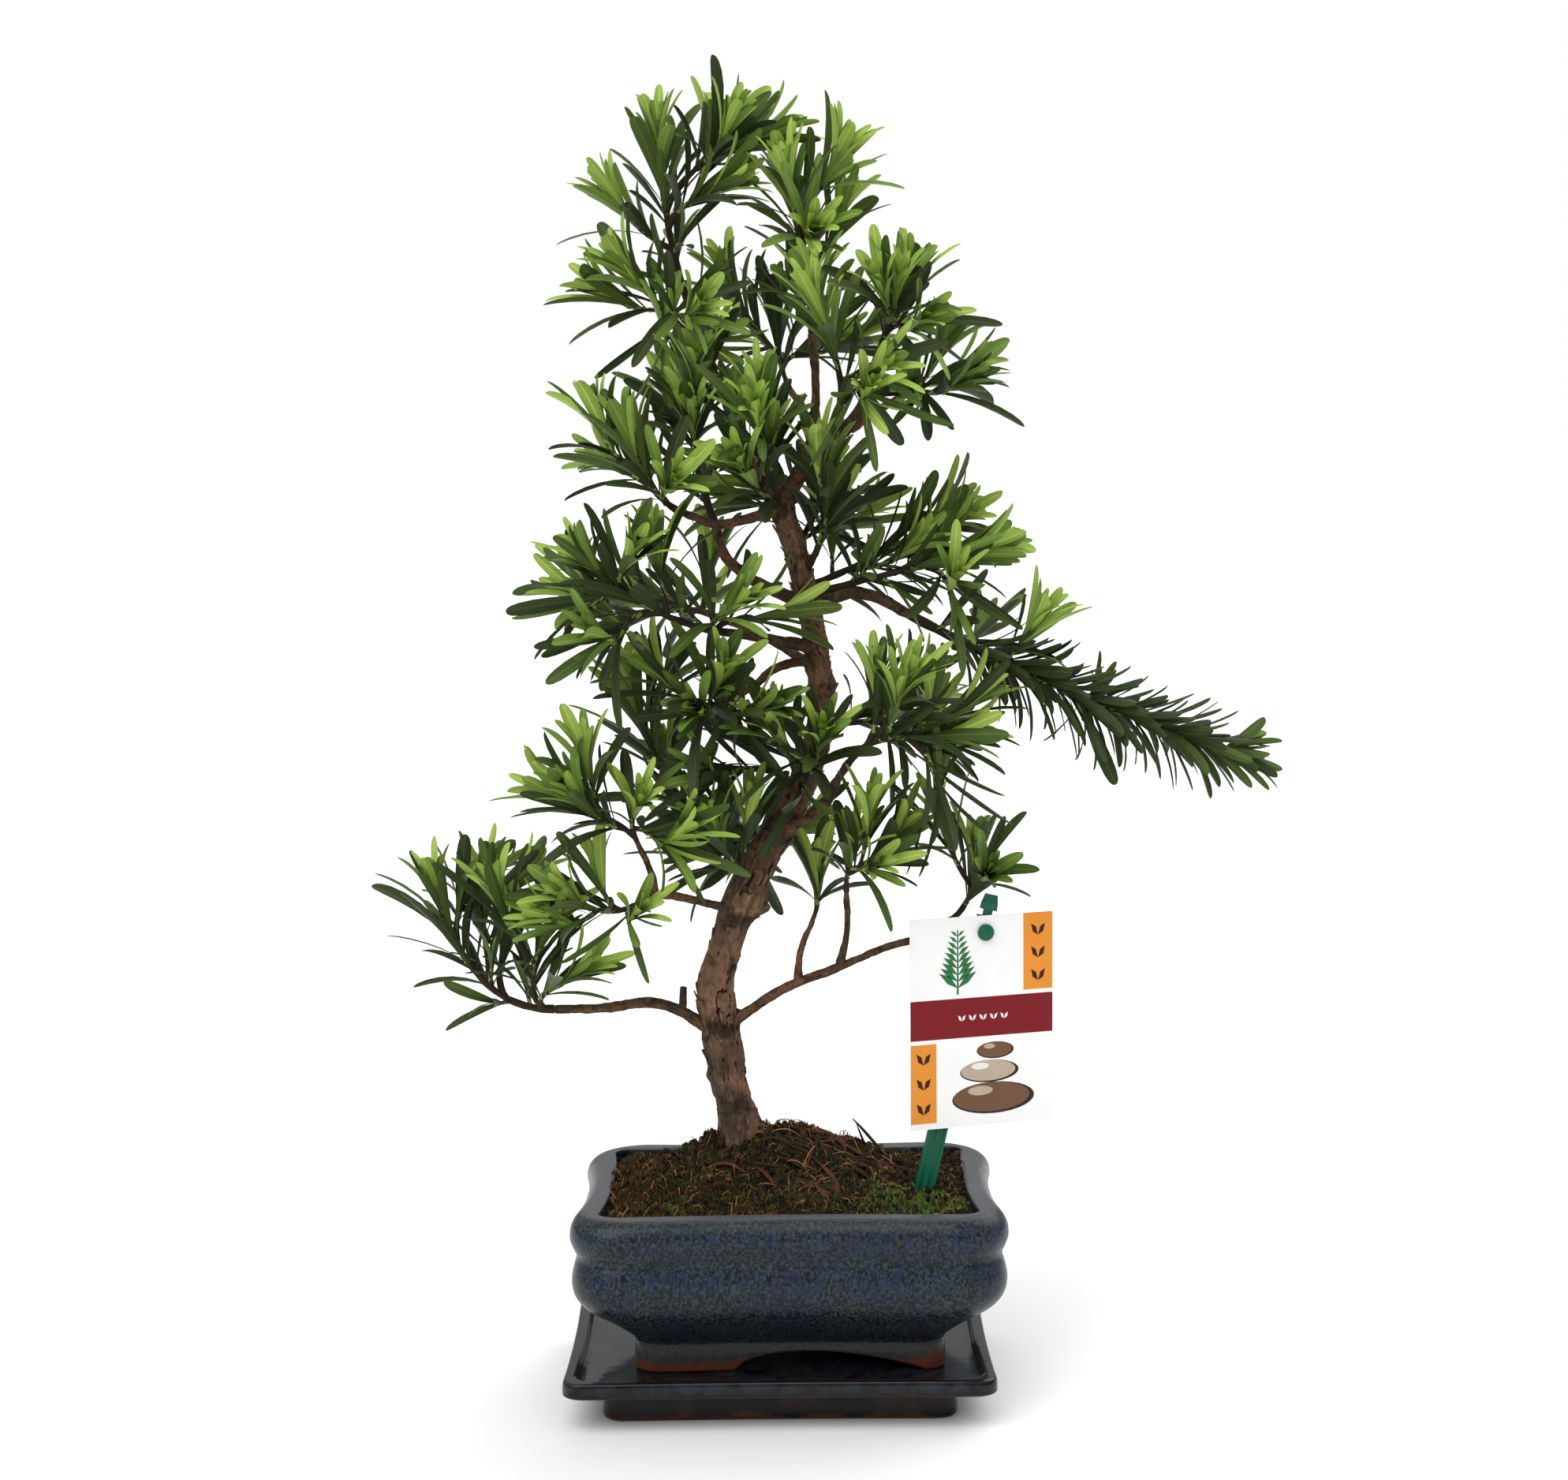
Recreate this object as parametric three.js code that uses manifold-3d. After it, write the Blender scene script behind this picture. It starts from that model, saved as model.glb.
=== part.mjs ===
// A buddhist pine grown as a small tree in a glazed pot, on its drip tray, with its plant label.
// Millimetres, +Z up, -Y is the front. The origin is in the middle of the tray's underside.

import * as THREE from 'three';
import { mergeVertices } from 'three/addons/utils/BufferGeometryUtils.js';
import Module from 'manifold-3d';

const wasm = await Module();
wasm.setup();

// Clearance kept between pieces that touch
const GAP = 0.3;

// Size of the slivers that are taken out after joining and cutting
const SLIVER = 0.02;

// Drip tray: a shallow dish on a solid block
const TRAY_HALF_WIDTH = 101;
const TRAY_NARROWER = 25;
const TRAY_HEIGHT = 24;
const TRAY_FLOOR = 20;
const TRAY_RIM = 6;
const TRAY_BLOCK_HALF_WIDTH = 83.4;
const TRAY_BLOCK_HEIGHT = 15.7;
const TRAY_CORNER = 9;
const TRAY_WAIST = [1.2, 1.2];

// Pot: a round belly, a groove and a lip, on a foot ring with an arch in each long side
const POT_X = 5;
const POT_NARROWER = 25;
const POT_WAIST = [3, 7];
const SOIL_GAP = 0.4;
const POT_CORNER = 24;
const MOUTH_CORNER = 6;
const POT_FOOT = TRAY_FLOOR;
const POT_HEIGHT = 80;
const POT_TOP = POT_FOOT + POT_HEIGHT;
const POT_INNER_FLOOR = POT_FOOT + 18;
const FOOT_HALF_WIDTH = 73.5;
const FOOT_RING = 12;
const BELLY_HALF_WIDTH = 101;
const LIP_WIDTH = 8;
const RIM_INSET = 5;
const POT_WALL_AT = BELLY_HALF_WIDTH - RIM_INSET - LIP_WIDTH - 0.5;
const ARCH_HEIGHT = 9.5;
const ARCH_FROM = -26;
const ARCH_TO = 56;

// Soil: a heap whose top is a little to the right of the trunk, with a flat place under the trunk
const SOIL_EDGE = POT_TOP - 5;
const SOIL_TOP = 122;
const SOIL_PAD = 14;
const HEAP_RISE = 31;
const HEAP_FROM_TRUNK = 13;
const HEAP_LEFT = 52;
const HEAP_RIGHT = 64;
const HEAP_SHORT = 36;

// Trunk: a leaning S with a flared foot and a knob on its right
const TRUNK_FOOT_RADIUS = 9;
const TRUNK_FORK_RADIUS = 5;
const FLARE = 3;
const FLARE_HEIGHT = 8;
const KNOB_PLACE = [-8.5, -6, 238.5];
const KNOB_RADIUS = 5.5;
const TRUNK_SIDES = 10;
const TRUNK_STEPS = 23;
const TRUNK_BENDS = [
  [-18.2, 3, SOIL_TOP],
  [-24.2, 3, 156],
  [-29.5, -3, 194],
  [-24.9, -6, 213.5],
  [-17.7, -6, 234],
  [-5.5, 0, 258],
  [9.8, 6, 283],
  [22.6, 8, 321],
  [20.9, 4, 354],
  [14, -2, 391.5],
  [3.6, 0, 427],
];

// Leaves: long narrow blades set round the shoots at the golden angle, one in four of them grown
const GOLDEN_ANGLE = radians(137.5);
const LEAF_LENGTH = 41;
const LEAF_HALF_WIDTH = 5;
const LEAF_THICKNESS = 1.1;
const LEAF_STEP = 1.95;
const ONE_LEAF_IN = 4;
const ONE_SHOOT_IN = 2;
const TIP_ANGLE = 10;
const BASE_ANGLE = 60;
const ARM_ANGLE = 50;
const ARM_LEAF_SIZE = 0.72;
const LEAF_LIFT = 0.2;
const SHOOT_RADIUS = 1.5;
const TRUNK_SHOOT_RADIUS = 1.8;

// Boughs: the collar at the root of each, and the cut peg on the lowest
const BOUGH_SIDES = 5;
const BOUGH_COLLAR = 0.35;
const PEG_RADIUS = 1.7;

// Plant label: a card on a green stick
const CARD_WIDTH = 71;
const CARD_HEIGHT = 102;
const CARD_THICKNESS = 0.7;
const CARD_LEAN = 1;
const CARD_PIN = [98.4, -16, 220.2];
const CARD_PIN_FROM_TOP = 12;
const CARD_PIN_FROM_MIDDLE = 2;
const LABEL_TURN = 18;
const STICK_WIDTH = 9.5;
const STICK_THICKNESS = 2.4;
const STICK_LEAN = 14;
const STICK_ABOVE_PIN = 8;
const STICK_BELOW_PIN = 164;
const PIN_RADIUS = 1.6;
const BUTTON_RADIUS = 4;

function vector(point) {
  return new THREE.Vector3(...point);
}

function radians(degrees) {
  return degrees * Math.PI / 180;
}

function mix(from, to, share) {
  return from + (to - from) * share;
}

// A number between 0 and 1 that always comes out the same for the same three keys
function noise(a, b, c) {
  const wave = Math.sin(a * 12.9898 + b * 78.233 + c * 37.719) * 43758.5453;
  return wave - Math.floor(wave);
}

// Solids

function weld(geometry) {
  geometry.deleteAttribute('normal');
  geometry.deleteAttribute('uv');
  return mergeVertices(geometry);
}

function toSolid(geometry) {
  const welded = geometry.getAttribute('normal') ? weld(geometry) : geometry;
  const corners = welded.index.array;
  const triangles = [];
  for (let i = 0; i < corners.length; i += 3) {
    const [a, b, c] = [corners[i], corners[i + 1], corners[i + 2]];
    if (a !== b && b !== c && c !== a) {
      triangles.push(a, b, c);
    }
  }
  const vertProperties = new Float32Array(welded.getAttribute('position').array);
  const triVerts = new Uint32Array(triangles);
  return new wasm.Manifold(new wasm.Mesh({ numProp: 3, vertProperties, triVerts }));
}

function toGeometry(solid) {
  const mesh = solid.getMesh();
  const geometry = new THREE.BufferGeometry();
  geometry.setAttribute('position', new THREE.BufferAttribute(mesh.vertProperties, 3));
  geometry.setIndex(new THREE.BufferAttribute(mesh.triVerts, 1));
  geometry.computeVertexNormals();
  return geometry;
}

// The largest piece of a solid, with loose scraps dropped, sealed hollows filled and the slivers
// that joining and cutting leave taken out
function largestPiece(solid) {
  const pieces = solid.decompose();
  const largest = pieces.reduce((best, piece) => (piece.volume() > best.volume() ? piece : best));
  return largest.simplify(SLIVER);
}

function joined(solids) {
  return solids.reduce((all, solid) => all.add(solid));
}

function cutClear(solid, neighbours) {
  return largestPiece(neighbours.reduce((rest, neighbour) => rest.subtract(neighbour), solid));
}

function meets(solid, others) {
  const { min, max } = solid.boundingBox();
  return others.some((other) => {
    const box = other.boundingBox();
    const apart = [0, 1, 2].some((axis) => box.max[axis] < min[axis] || box.min[axis] > max[axis]);
    return !apart && !other.intersect(solid).isEmpty();
  });
}

// A cylinder bent along a curve, its radius a function of the share of its length and the angle
function limbSolid(curve, radiusAt, sides, steps) {
  const geometry = weld(new THREE.CylinderGeometry(1, 1, 1, sides, steps));
  const position = geometry.getAttribute('position');
  const frames = curve.computeFrenetFrames(steps, false);
  const point = new THREE.Vector3();
  for (let i = 0; i < position.count; i += 1) {
    const across = position.getX(i);
    const along = position.getZ(i);
    const share = position.getY(i) + 0.5;
    const ring = Math.round(share * steps);
    const radius = radiusAt(share, Math.atan2(along, across));
    curve.getPointAt(share, point);
    point.addScaledVector(frames.binormals[ring], across * radius);
    point.addScaledVector(frames.normals[ring], along * radius);
    position.setXYZ(i, point.x, point.y, point.z);
  }
  return toSolid(geometry);
}

// Pot, tray and soil: turned shapes pressed into a rectangle with round corners and hollow sides

const OUTLINE_POINTS = 28;
const FULLY_PRESSED_FROM = 66;

// One point of a rectangle with round corners whose long and short sides are hollow by the waist
function outlinePoint(number, halfX, halfY, corner, waist) {
  const quarter = OUTLINE_POINTS / 4;
  const place = number % quarter;
  const turn = Math.floor(number / quarter) % 4;
  const step = turn % 2 === 0 ? place : quarter - place;
  const signX = turn < 2 ? 1 : -1;
  const signY = turn === 0 || turn === 3 ? -1 : 1;
  const longSide = halfX - corner;
  const shortSide = halfY - corner;
  let x = longSide * Math.min(step / 2, 1);
  let y = shortSide * Math.min((quarter - step) / 2, 1);
  const bend = THREE.MathUtils.clamp((step - 2) / (quarter - 4), 0, 1) * Math.PI / 2;
  const hollowLong = waist[0] * (1 - (x / longSide) ** 2);
  const hollowShort = waist[1] * (1 - (y / shortSide) ** 4);
  x += corner * Math.sin(bend) - (step === quarter || step === quarter - 1 ? hollowShort : 0);
  y += corner * Math.cos(bend) - (step < 2 ? hollowLong : 0);
  return new THREE.Vector2(signX * x, signY * y);
}

function pressedOutline(number, halfWidth, narrower, corner, waist) {
  const share = Math.min(1, halfWidth / FULLY_PRESSED_FROM);
  const halfDepth = halfWidth - narrower * share;
  const round = Math.min(corner, halfDepth * 0.7);
  const hollow = waist.map((depth) => depth * halfWidth / BELLY_HALF_WIDTH);
  return outlinePoint(number, halfWidth, halfDepth, round, hollow);
}

function pressedSolid(profile, narrower, corner, waist, centreX) {
  const points = profile.map(([x, z]) => new THREE.Vector2(x, z));
  const geometry = weld(new THREE.LatheGeometry(points, OUTLINE_POINTS));
  const position = geometry.getAttribute('position');
  for (let i = 0; i < position.count; i += 1) {
    const radius = Math.hypot(position.getX(i), position.getZ(i));
    const angle = Math.atan2(position.getX(i), position.getZ(i));
    const number = Math.round(angle / (2 * Math.PI) * OUTLINE_POINTS + OUTLINE_POINTS) % OUTLINE_POINTS;
    const height = position.getY(i);
    const place = new THREE.Vector2();
    if (radius > 0.01) {
      place.copy(pressedOutline(number, radius, narrower, corner, waist));
    }
    position.setXYZ(i, place.x + centreX, place.y, height);
  }
  return toSolid(geometry);
}

function trayShape() {
  const floorEdge = TRAY_HALF_WIDTH - TRAY_RIM;
  const profile = [
    [0, 0],
    [TRAY_BLOCK_HALF_WIDTH, 0],
    [TRAY_BLOCK_HALF_WIDTH, TRAY_BLOCK_HEIGHT],
    [TRAY_HALF_WIDTH - 1.5, TRAY_BLOCK_HEIGHT],
    [TRAY_HALF_WIDTH, TRAY_BLOCK_HEIGHT + 1.5],
    [TRAY_HALF_WIDTH, TRAY_HEIGHT - 1.2],
    [TRAY_HALF_WIDTH - 1.2, TRAY_HEIGHT],
    [floorEdge, TRAY_HEIGHT],
    [floorEdge - 2, TRAY_FLOOR],
    [0, TRAY_FLOOR],
  ];
  return pressedSolid(profile, TRAY_NARROWER, TRAY_CORNER, TRAY_WAIST, 0);
}

// The inside of the pot, from its flat floor up its wall to the lip
function potInside(inset) {
  const wall = POT_WALL_AT - inset;
  const floor = POT_INNER_FLOOR;
  return [
    [wall - 22, floor],
    [wall - 13, floor + 6],
    [wall - 4, floor + 21],
    [wall, floor + 42],
  ];
}

function archCutter(turned) {
  const shape = new THREE.Shape();
  shape.moveTo(ARCH_FROM, -1);
  shape.lineTo(ARCH_FROM, 0);
  shape.bezierCurveTo(ARCH_FROM + 10, ARCH_HEIGHT * 1.25, ARCH_FROM + 34, ARCH_HEIGHT * 1.25, ARCH_TO, 0);
  shape.lineTo(ARCH_TO, -1);
  shape.closePath();
  const settings = { depth: 30, bevelEnabled: false, curveSegments: 8 };
  const geometry = new THREE.ExtrudeGeometry(shape, settings);
  geometry.rotateX(Math.PI / 2);
  geometry.translate(0, -(FOOT_HALF_WIDTH - POT_NARROWER - FOOT_RING - 2), 0);
  geometry.rotateZ(turned);
  geometry.translate(POT_X, 0, POT_FOOT);
  return toSolid(geometry);
}

function potShape() {
  const belly = BELLY_HALF_WIDTH;
  const recess = POT_FOOT + 10;
  const outside = [
    [0, recess],
    [FOOT_HALF_WIDTH - FOOT_RING, recess],
    [FOOT_HALF_WIDTH - FOOT_RING, POT_FOOT],
    [FOOT_HALF_WIDTH, POT_FOOT],
    [FOOT_HALF_WIDTH - 0.5, POT_FOOT + 15],
    [belly - 18, POT_FOOT + 23],
    [belly - 6.6, POT_FOOT + 32],
    [belly - 0.8, POT_FOOT + 40],
    [belly + 1, POT_FOOT + 48],
    [belly - 1.8, POT_FOOT + 58.5],
    [belly + 0.4, POT_FOOT + 63],
    [belly + 1.6, POT_FOOT + 68],
    [belly + 0.2, POT_FOOT + 74.5],
    [belly - RIM_INSET, POT_TOP],
    [0, POT_TOP],
  ];
  const mouth = [[0, POT_INNER_FLOOR], ...potInside(0), [POT_WALL_AT, POT_TOP + 1], [0, POT_TOP + 1]];
  const body = pressedSolid(outside, POT_NARROWER, POT_CORNER, POT_WAIST, POT_X);
  const hollow = pressedSolid(mouth, POT_NARROWER, MOUTH_CORNER, POT_WAIST, POT_X);
  return body.subtract(hollow).subtract(archCutter(0)).subtract(archCutter(Math.PI));
}

// The heap round the trunk with low hummocks
function soilHeight(x, y) {
  const [footX, footY] = TRUNK_BENDS[0];
  const away = x - footX - HEAP_FROM_TRUNK;
  const long = away < 0 ? HEAP_LEFT : HEAP_RIGHT;
  const spread = (away / long) ** 2 + ((y - footY) / HEAP_SHORT) ** 2;
  const hummocks = 0.9 * Math.sin(x * 0.21 + 1) * Math.cos(y * 0.26) + 0.5 * Math.sin(x * 0.09 - y * 0.13);
  return SOIL_EDGE + HEAP_RISE * Math.exp(-spread) + hummocks;
}

function soilShape() {
  const shares = [1, 0.8, 0.62, 0.46, 0.32, 0.2, 0.1, 0];
  const rim = potInside(SOIL_GAP)[3][0];
  const sides = potInside(SOIL_GAP).map(([x, z], row) => [x, row === 0 ? z : z + SOIL_GAP]);
  const surface = shares.map((share, row) => [mix(rim * 0.1, rim, share), SOIL_EDGE + 0.01 * row]);
  const profile = [[0, POT_INNER_FLOOR], ...sides, ...surface, [0, SOIL_TOP]];
  const points = profile.map(([x, z]) => new THREE.Vector2(x, z));
  const geometry = weld(new THREE.LatheGeometry(points, OUTLINE_POINTS));
  const position = geometry.getAttribute('position');
  const [footX, footY] = TRUNK_BENDS[0];
  for (let i = 0; i < position.count; i += 1) {
    const radius = Math.hypot(position.getX(i), position.getZ(i));
    const angle = Math.atan2(position.getX(i), position.getZ(i));
    const number = Math.round(angle / (2 * Math.PI) * OUTLINE_POINTS + OUTLINE_POINTS) % OUTLINE_POINTS;
    const height = position.getY(i);
    if (height < SOIL_EDGE - 0.001) {
      const place = radius > 0.01
        ? pressedOutline(number, radius, POT_NARROWER, MOUTH_CORNER, POT_WAIST)
        : new THREE.Vector2();
      position.setXYZ(i, place.x + POT_X, place.y, height);
    } else if (radius < rim * 0.1 + 0.01) {
      const share = radius > 0.01 ? 1 : 0;
      const x = footX + share * SOIL_PAD * Math.sin(angle);
      const y = footY - share * SOIL_PAD * Math.cos(angle);
      position.setXYZ(i, x, y, SOIL_TOP);
    } else {
      const share = (radius / rim - 0.1) / 0.9;
      const edge = pressedOutline(number, rim, POT_NARROWER, MOUTH_CORNER, POT_WAIST);
      const x = mix(footX + SOIL_PAD * Math.sin(angle), edge.x + POT_X, share);
      const y = mix(footY - SOIL_PAD * Math.cos(angle), edge.y, share);
      position.setXYZ(i, x, y, soilHeight(x, y));
    }
  }
  return toSolid(geometry);
}

// Plant label, built upright round its pin and then turned and placed

function placeLabel(geometry) {
  geometry.rotateZ(radians(LABEL_TURN));
  geometry.translate(...CARD_PIN);
  return toSolid(geometry);
}

function ribbedSection() {
  const half = STICK_WIDTH / 2;
  const valley = STICK_THICKNESS - 0.8;
  const section = new THREE.Shape();
  section.moveTo(-half, 0);
  section.lineTo(half, 0);
  section.lineTo(half, STICK_THICKNESS);
  section.lineTo(half - 1.4, STICK_THICKNESS);
  section.lineTo(half - 1.8, valley);
  section.lineTo(0.9, valley);
  section.lineTo(0.5, STICK_THICKNESS);
  section.lineTo(-0.5, STICK_THICKNESS);
  section.lineTo(-0.9, valley);
  section.lineTo(1.8 - half, valley);
  section.lineTo(1.4 - half, STICK_THICKNESS);
  section.lineTo(-half, STICK_THICKNESS);
  section.closePath();
  return section;
}

function plainSection(grow) {
  const half = STICK_WIDTH / 2 + grow;
  const section = new THREE.Shape();
  section.moveTo(-half, -grow);
  section.lineTo(half, -grow);
  section.lineTo(half, STICK_THICKNESS + grow);
  section.lineTo(-half, STICK_THICKNESS + grow);
  section.closePath();
  return section;
}

function stickSolid(section, grow) {
  const depth = STICK_BELOW_PIN + STICK_ABOVE_PIN + grow;
  const geometry = new THREE.ExtrudeGeometry(section, { depth, bevelEnabled: false });
  geometry.rotateZ(Math.PI);
  geometry.translate(0, CARD_THICKNESS + 0.6 + STICK_THICKNESS, -STICK_BELOW_PIN - grow);
  geometry.rotateY(radians(STICK_LEAN));
  return placeLabel(geometry);
}

function labelPin(radius, from, to, sides) {
  const geometry = new THREE.CylinderGeometry(radius, radius, to - from, sides);
  geometry.translate(0, (from + to) / 2, 0);
  return placeLabel(geometry);
}

function stickShape() {
  const back = CARD_THICKNESS + 0.6 + STICK_THICKNESS / 2;
  const neck = new THREE.BoxGeometry(3, 1.8, 6);
  neck.translate(0, back, STICK_ABOVE_PIN + 2);
  neck.rotateY(radians(STICK_LEAN));
  const cap = new THREE.CylinderGeometry(2.6, 3.6, 6, 4, 1);
  cap.rotateX(Math.PI / 2);
  cap.rotateZ(Math.PI / 4);
  cap.scale(1.2, 0.6, 1);
  cap.translate(0, back, STICK_ABOVE_PIN + 7);
  cap.rotateY(radians(STICK_LEAN));
  const pin = labelPin(PIN_RADIUS, -1.5, back, 10);
  const button = labelPin(BUTTON_RADIUS, -2.6, -GAP, 16);
  return joined([stickSolid(ribbedSection(), 0), placeLabel(neck), placeLabel(cap), pin, button]);
}

function cardShape() {
  const left = -CARD_WIDTH / 2 - CARD_PIN_FROM_MIDDLE;
  const top = CARD_PIN_FROM_TOP;
  const outline = new THREE.Shape();
  outline.moveTo(left, top - CARD_HEIGHT);
  outline.lineTo(left + CARD_WIDTH, top - CARD_HEIGHT);
  outline.lineTo(left + CARD_WIDTH, top);
  outline.lineTo(left, top);
  outline.closePath();
  const hole = new THREE.Path();
  hole.absarc(0, 0, PIN_RADIUS + GAP, 0, 2 * Math.PI, true);
  outline.holes.push(hole);
  const settings = { depth: CARD_THICKNESS, bevelEnabled: false, curveSegments: 12 };
  const geometry = new THREE.ExtrudeGeometry(outline, settings);
  geometry.rotateX(Math.PI / 2);
  geometry.translate(0, CARD_THICKNESS, 0);
  geometry.rotateY(radians(-CARD_LEAN));
  return placeLabel(geometry);
}

// Trunk

const trunkBends = TRUNK_BENDS.map(vector);
const belowFoot = trunkBends[0].clone().lerp(trunkBends[1], -0.25);
const trunkCurve = new THREE.CatmullRomCurve3([belowFoot, ...trunkBends], false, 'centripetal');

function swelling(height, middle, size, spread) {
  return size * Math.exp(-(((height - middle) / spread) ** 2));
}

// The taper with the flare of the foot, two knots, the fork's swelling, root ridges and fluting
function trunkRadius(place, angle) {
  const foot = TRUNK_BENDS[0][2];
  const fork = TRUNK_BENDS.at(-1)[2];
  const height = Math.max(place, foot);
  const taper = mix(TRUNK_FOOT_RADIUS, TRUNK_FORK_RADIUS, (height - foot) / (fork - foot));
  const flare = FLARE * Math.exp(-(height - foot) / FLARE_HEIGHT);
  const lowKnot = swelling(height, 188, 0.9, 14);
  const highKnot = swelling(height, 242, 1.2, 11);
  const knots = lowKnot + highKnot + swelling(height, fork, 0.8, 9);
  const roots = 1 + 0.14 * Math.cos(3 * angle + 1) * Math.exp(-(height - foot) / 14);
  const fluting = 1 + 0.04 * Math.cos(4 * angle + height * 0.03);
  return (taper + flare + knots) * roots * fluting;
}

function trunkSolid(grow) {
  const radiusAt = (share, angle) => trunkRadius(trunkCurve.getPointAt(share).z, angle) + grow;
  const ground = new THREE.BoxGeometry(80, 80, 40);
  ground.translate(trunkBends[0].x, trunkBends[0].y, SOIL_TOP - 20);
  const knob = new THREE.SphereGeometry(KNOB_RADIUS + grow, 7, 5);
  knob.translate(...KNOB_PLACE);
  const stem = limbSolid(trunkCurve, radiusAt, TRUNK_SIDES, TRUNK_STEPS);
  return stem.add(toSolid(knob)).subtract(toSolid(ground));
}

// The middle of the trunk at a height
function trunkPoint(height) {
  let low = 0;
  let high = 1;
  for (let i = 0; i < 24; i += 1) {
    const middle = (low + high) / 2;
    if (trunkCurve.getPointAt(middle).z < height) {
      low = middle;
    } else {
      high = middle;
    }
  }
  return trunkCurve.getPointAt(low);
}

// Boughs: where each leaves its parent, its radii at root and tip, and the points that it bends
// through and ends at. A height is on the trunk, and a share is of the parent bough's length.
const BOUGHS = [
  { name: 'low_left_bough', height: 170.5, radii: [3, 2], peg: [-44.4, -6, 196],
    path: [[-47, -6, 185], [-60, -10, 189.5], [-82, -14, 188], [-105, -16, 188]] },
  { name: 'low_right_bough', height: 173.5, radii: [2.5, 1.6],
    path: [[4, -4, 194.5], [30, -6, 205], [51, -4, 213.5], [68, 4, 217], [83, 10, 224]] },
  { name: 'riser_inner', parent: 'low_right_bough', share: 0.53, radii: [1.5, 1.3],
    path: [[34, -8, 223], [33.7, -10, 242]] },
  { name: 'riser_left', parent: 'low_right_bough', share: 0.36, radii: [1.5, 1.2],
    path: [[11.4, -3, 211], [18.6, 2, 229]] },
  { name: 'left_second_bough', height: 233, radii: [2.1, 1.6],
    path: [[-38.5, -13, 239], [-53, -18, 242.5], [-66, -24, 238.5]] },
  { name: 'left_second_riser', parent: 'left_second_bough', share: 0.8, radii: [1.6, 1.3],
    path: [[-58, -22, 253.5], [-64.5, -28, 270]] },
  { name: 'mid_left_low_bough', height: 352, radii: [2.3, 1.6],
    path: [[1.7, -4, 348.5], [-10.6, -10, 339.5], [-23, -14, 334.5]] },
  { name: 'mid_left_bough', height: 357, radii: [2.8, 2],
    path: [[2, -10, 362], [-22, -19, 366.5]] },
  { name: 'upper_left_bough', height: 378, radii: [3.1, 2.2],
    path: [[2, 8, 383.5], [-11, 14, 390], [-22, 18, 400], [-27.5, 16, 416]] },
  { name: 'long_arm_bough', height: 376, radii: [3.2, 2.4],
    path: [[30.6, -4, 382], [39, -6, 384], [50, -8, 381], [64, -10, 373.5]] },
  { name: 'fork_left_bough', height: 424, radii: [2.6, 1.8],
    path: [[-11, -14, 419], [-26, -20, 417], [-39, -26, 422]] },
  { name: 'right_leader', height: 426, radii: [4, 2.6],
    path: [[12.6, 2, 437.5], [21.2, 6, 447], [38, 9, 462]] },
  { name: 'left_leader', height: 425, radii: [3.4, 2],
    path: [[-5, 12, 440], [-16, 20, 462], [-27, 24, 488], [-34.5, 24, 508]] },
  { name: 'mid_leader', parent: 'right_leader', share: 0.3, radii: [2.6, 1.9],
    path: [[19.5, 13, 457], [21.5, 17, 477], [20, 18, 505]] },
  { name: 'crown_front_bough', parent: 'right_leader', share: 0.62, radii: [2, 1.5],
    path: [[31.8, -12, 463.5], [32.4, -20, 474]] },
  { name: 'crown_right_bough', parent: 'right_leader', share: 0.9, radii: [2.2, 1.6],
    path: [[43, 2, 472], [48, 3, 488]] },
  { name: 'crown_far_right_bough', parent: 'right_leader', share: 0.97, radii: [2.2, 1.6],
    path: [[53, 12, 470], [65, 14, 477]] },
  { name: 'crown_left_bough', parent: 'left_leader', share: 0.78, radii: [1.8, 1.4],
    path: [[-35, 19, 501], [-44, 12, 511]] },
  { name: 'right_front_bough', height: 268, radii: [2.5, 1.8],
    path: [[23.5, -14, 283.5], [29, -22, 296], [35, -28, 306]] },
  { name: 'back_low_bough', height: 286, radii: [2.4, 1.6],
    path: [[16, 28, 297], [22, 46, 305], [30, 60, 311]] },
  { name: 'back_left_bough', height: 346, radii: [2.4, 1.6],
    path: [[4, 26, 356], [-14, 44, 364], [-32, 56, 370]] },
  { name: 'back_crown_bough', parent: 'mid_leader', share: 0.3, radii: [1.9, 1.4],
    path: [[16, 34, 468], [10, 50, 478]] },
];

function limbRadius(bough, grow) {
  const [root, tip] = bough.radii;
  const collar = root * BOUGH_COLLAR;
  return (share) => mix(root, tip, share) + collar * Math.exp(-share * 14) + grow;
}

function pegSolid(bough, grow) {
  const top = vector(bough.peg);
  const foot = bough.curve.getPointAt(nearestShare(bough.curve, top));
  return limbSolid(new THREE.LineCurve3(foot, top), () => PEG_RADIUS + grow, 6, 1);
}

function boughSolid(bough, grow) {
  const steps = 2 * bough.path.length - 1;
  const limb = limbSolid(bough.curve, limbRadius(bough, grow), BOUGH_SIDES, steps);
  return bough.peg ? limb.add(pegSolid(bough, grow)) : limb;
}

// The share of a curve's length at which it comes nearest to a point
function nearestShare(curve, point) {
  let best = 0;
  for (let i = 1; i <= 40; i += 1) {
    const nearer = curve.getPointAt(i / 40).distanceTo(point) < curve.getPointAt(best).distanceTo(point);
    best = nearer ? i / 40 : best;
  }
  return best;
}

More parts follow.
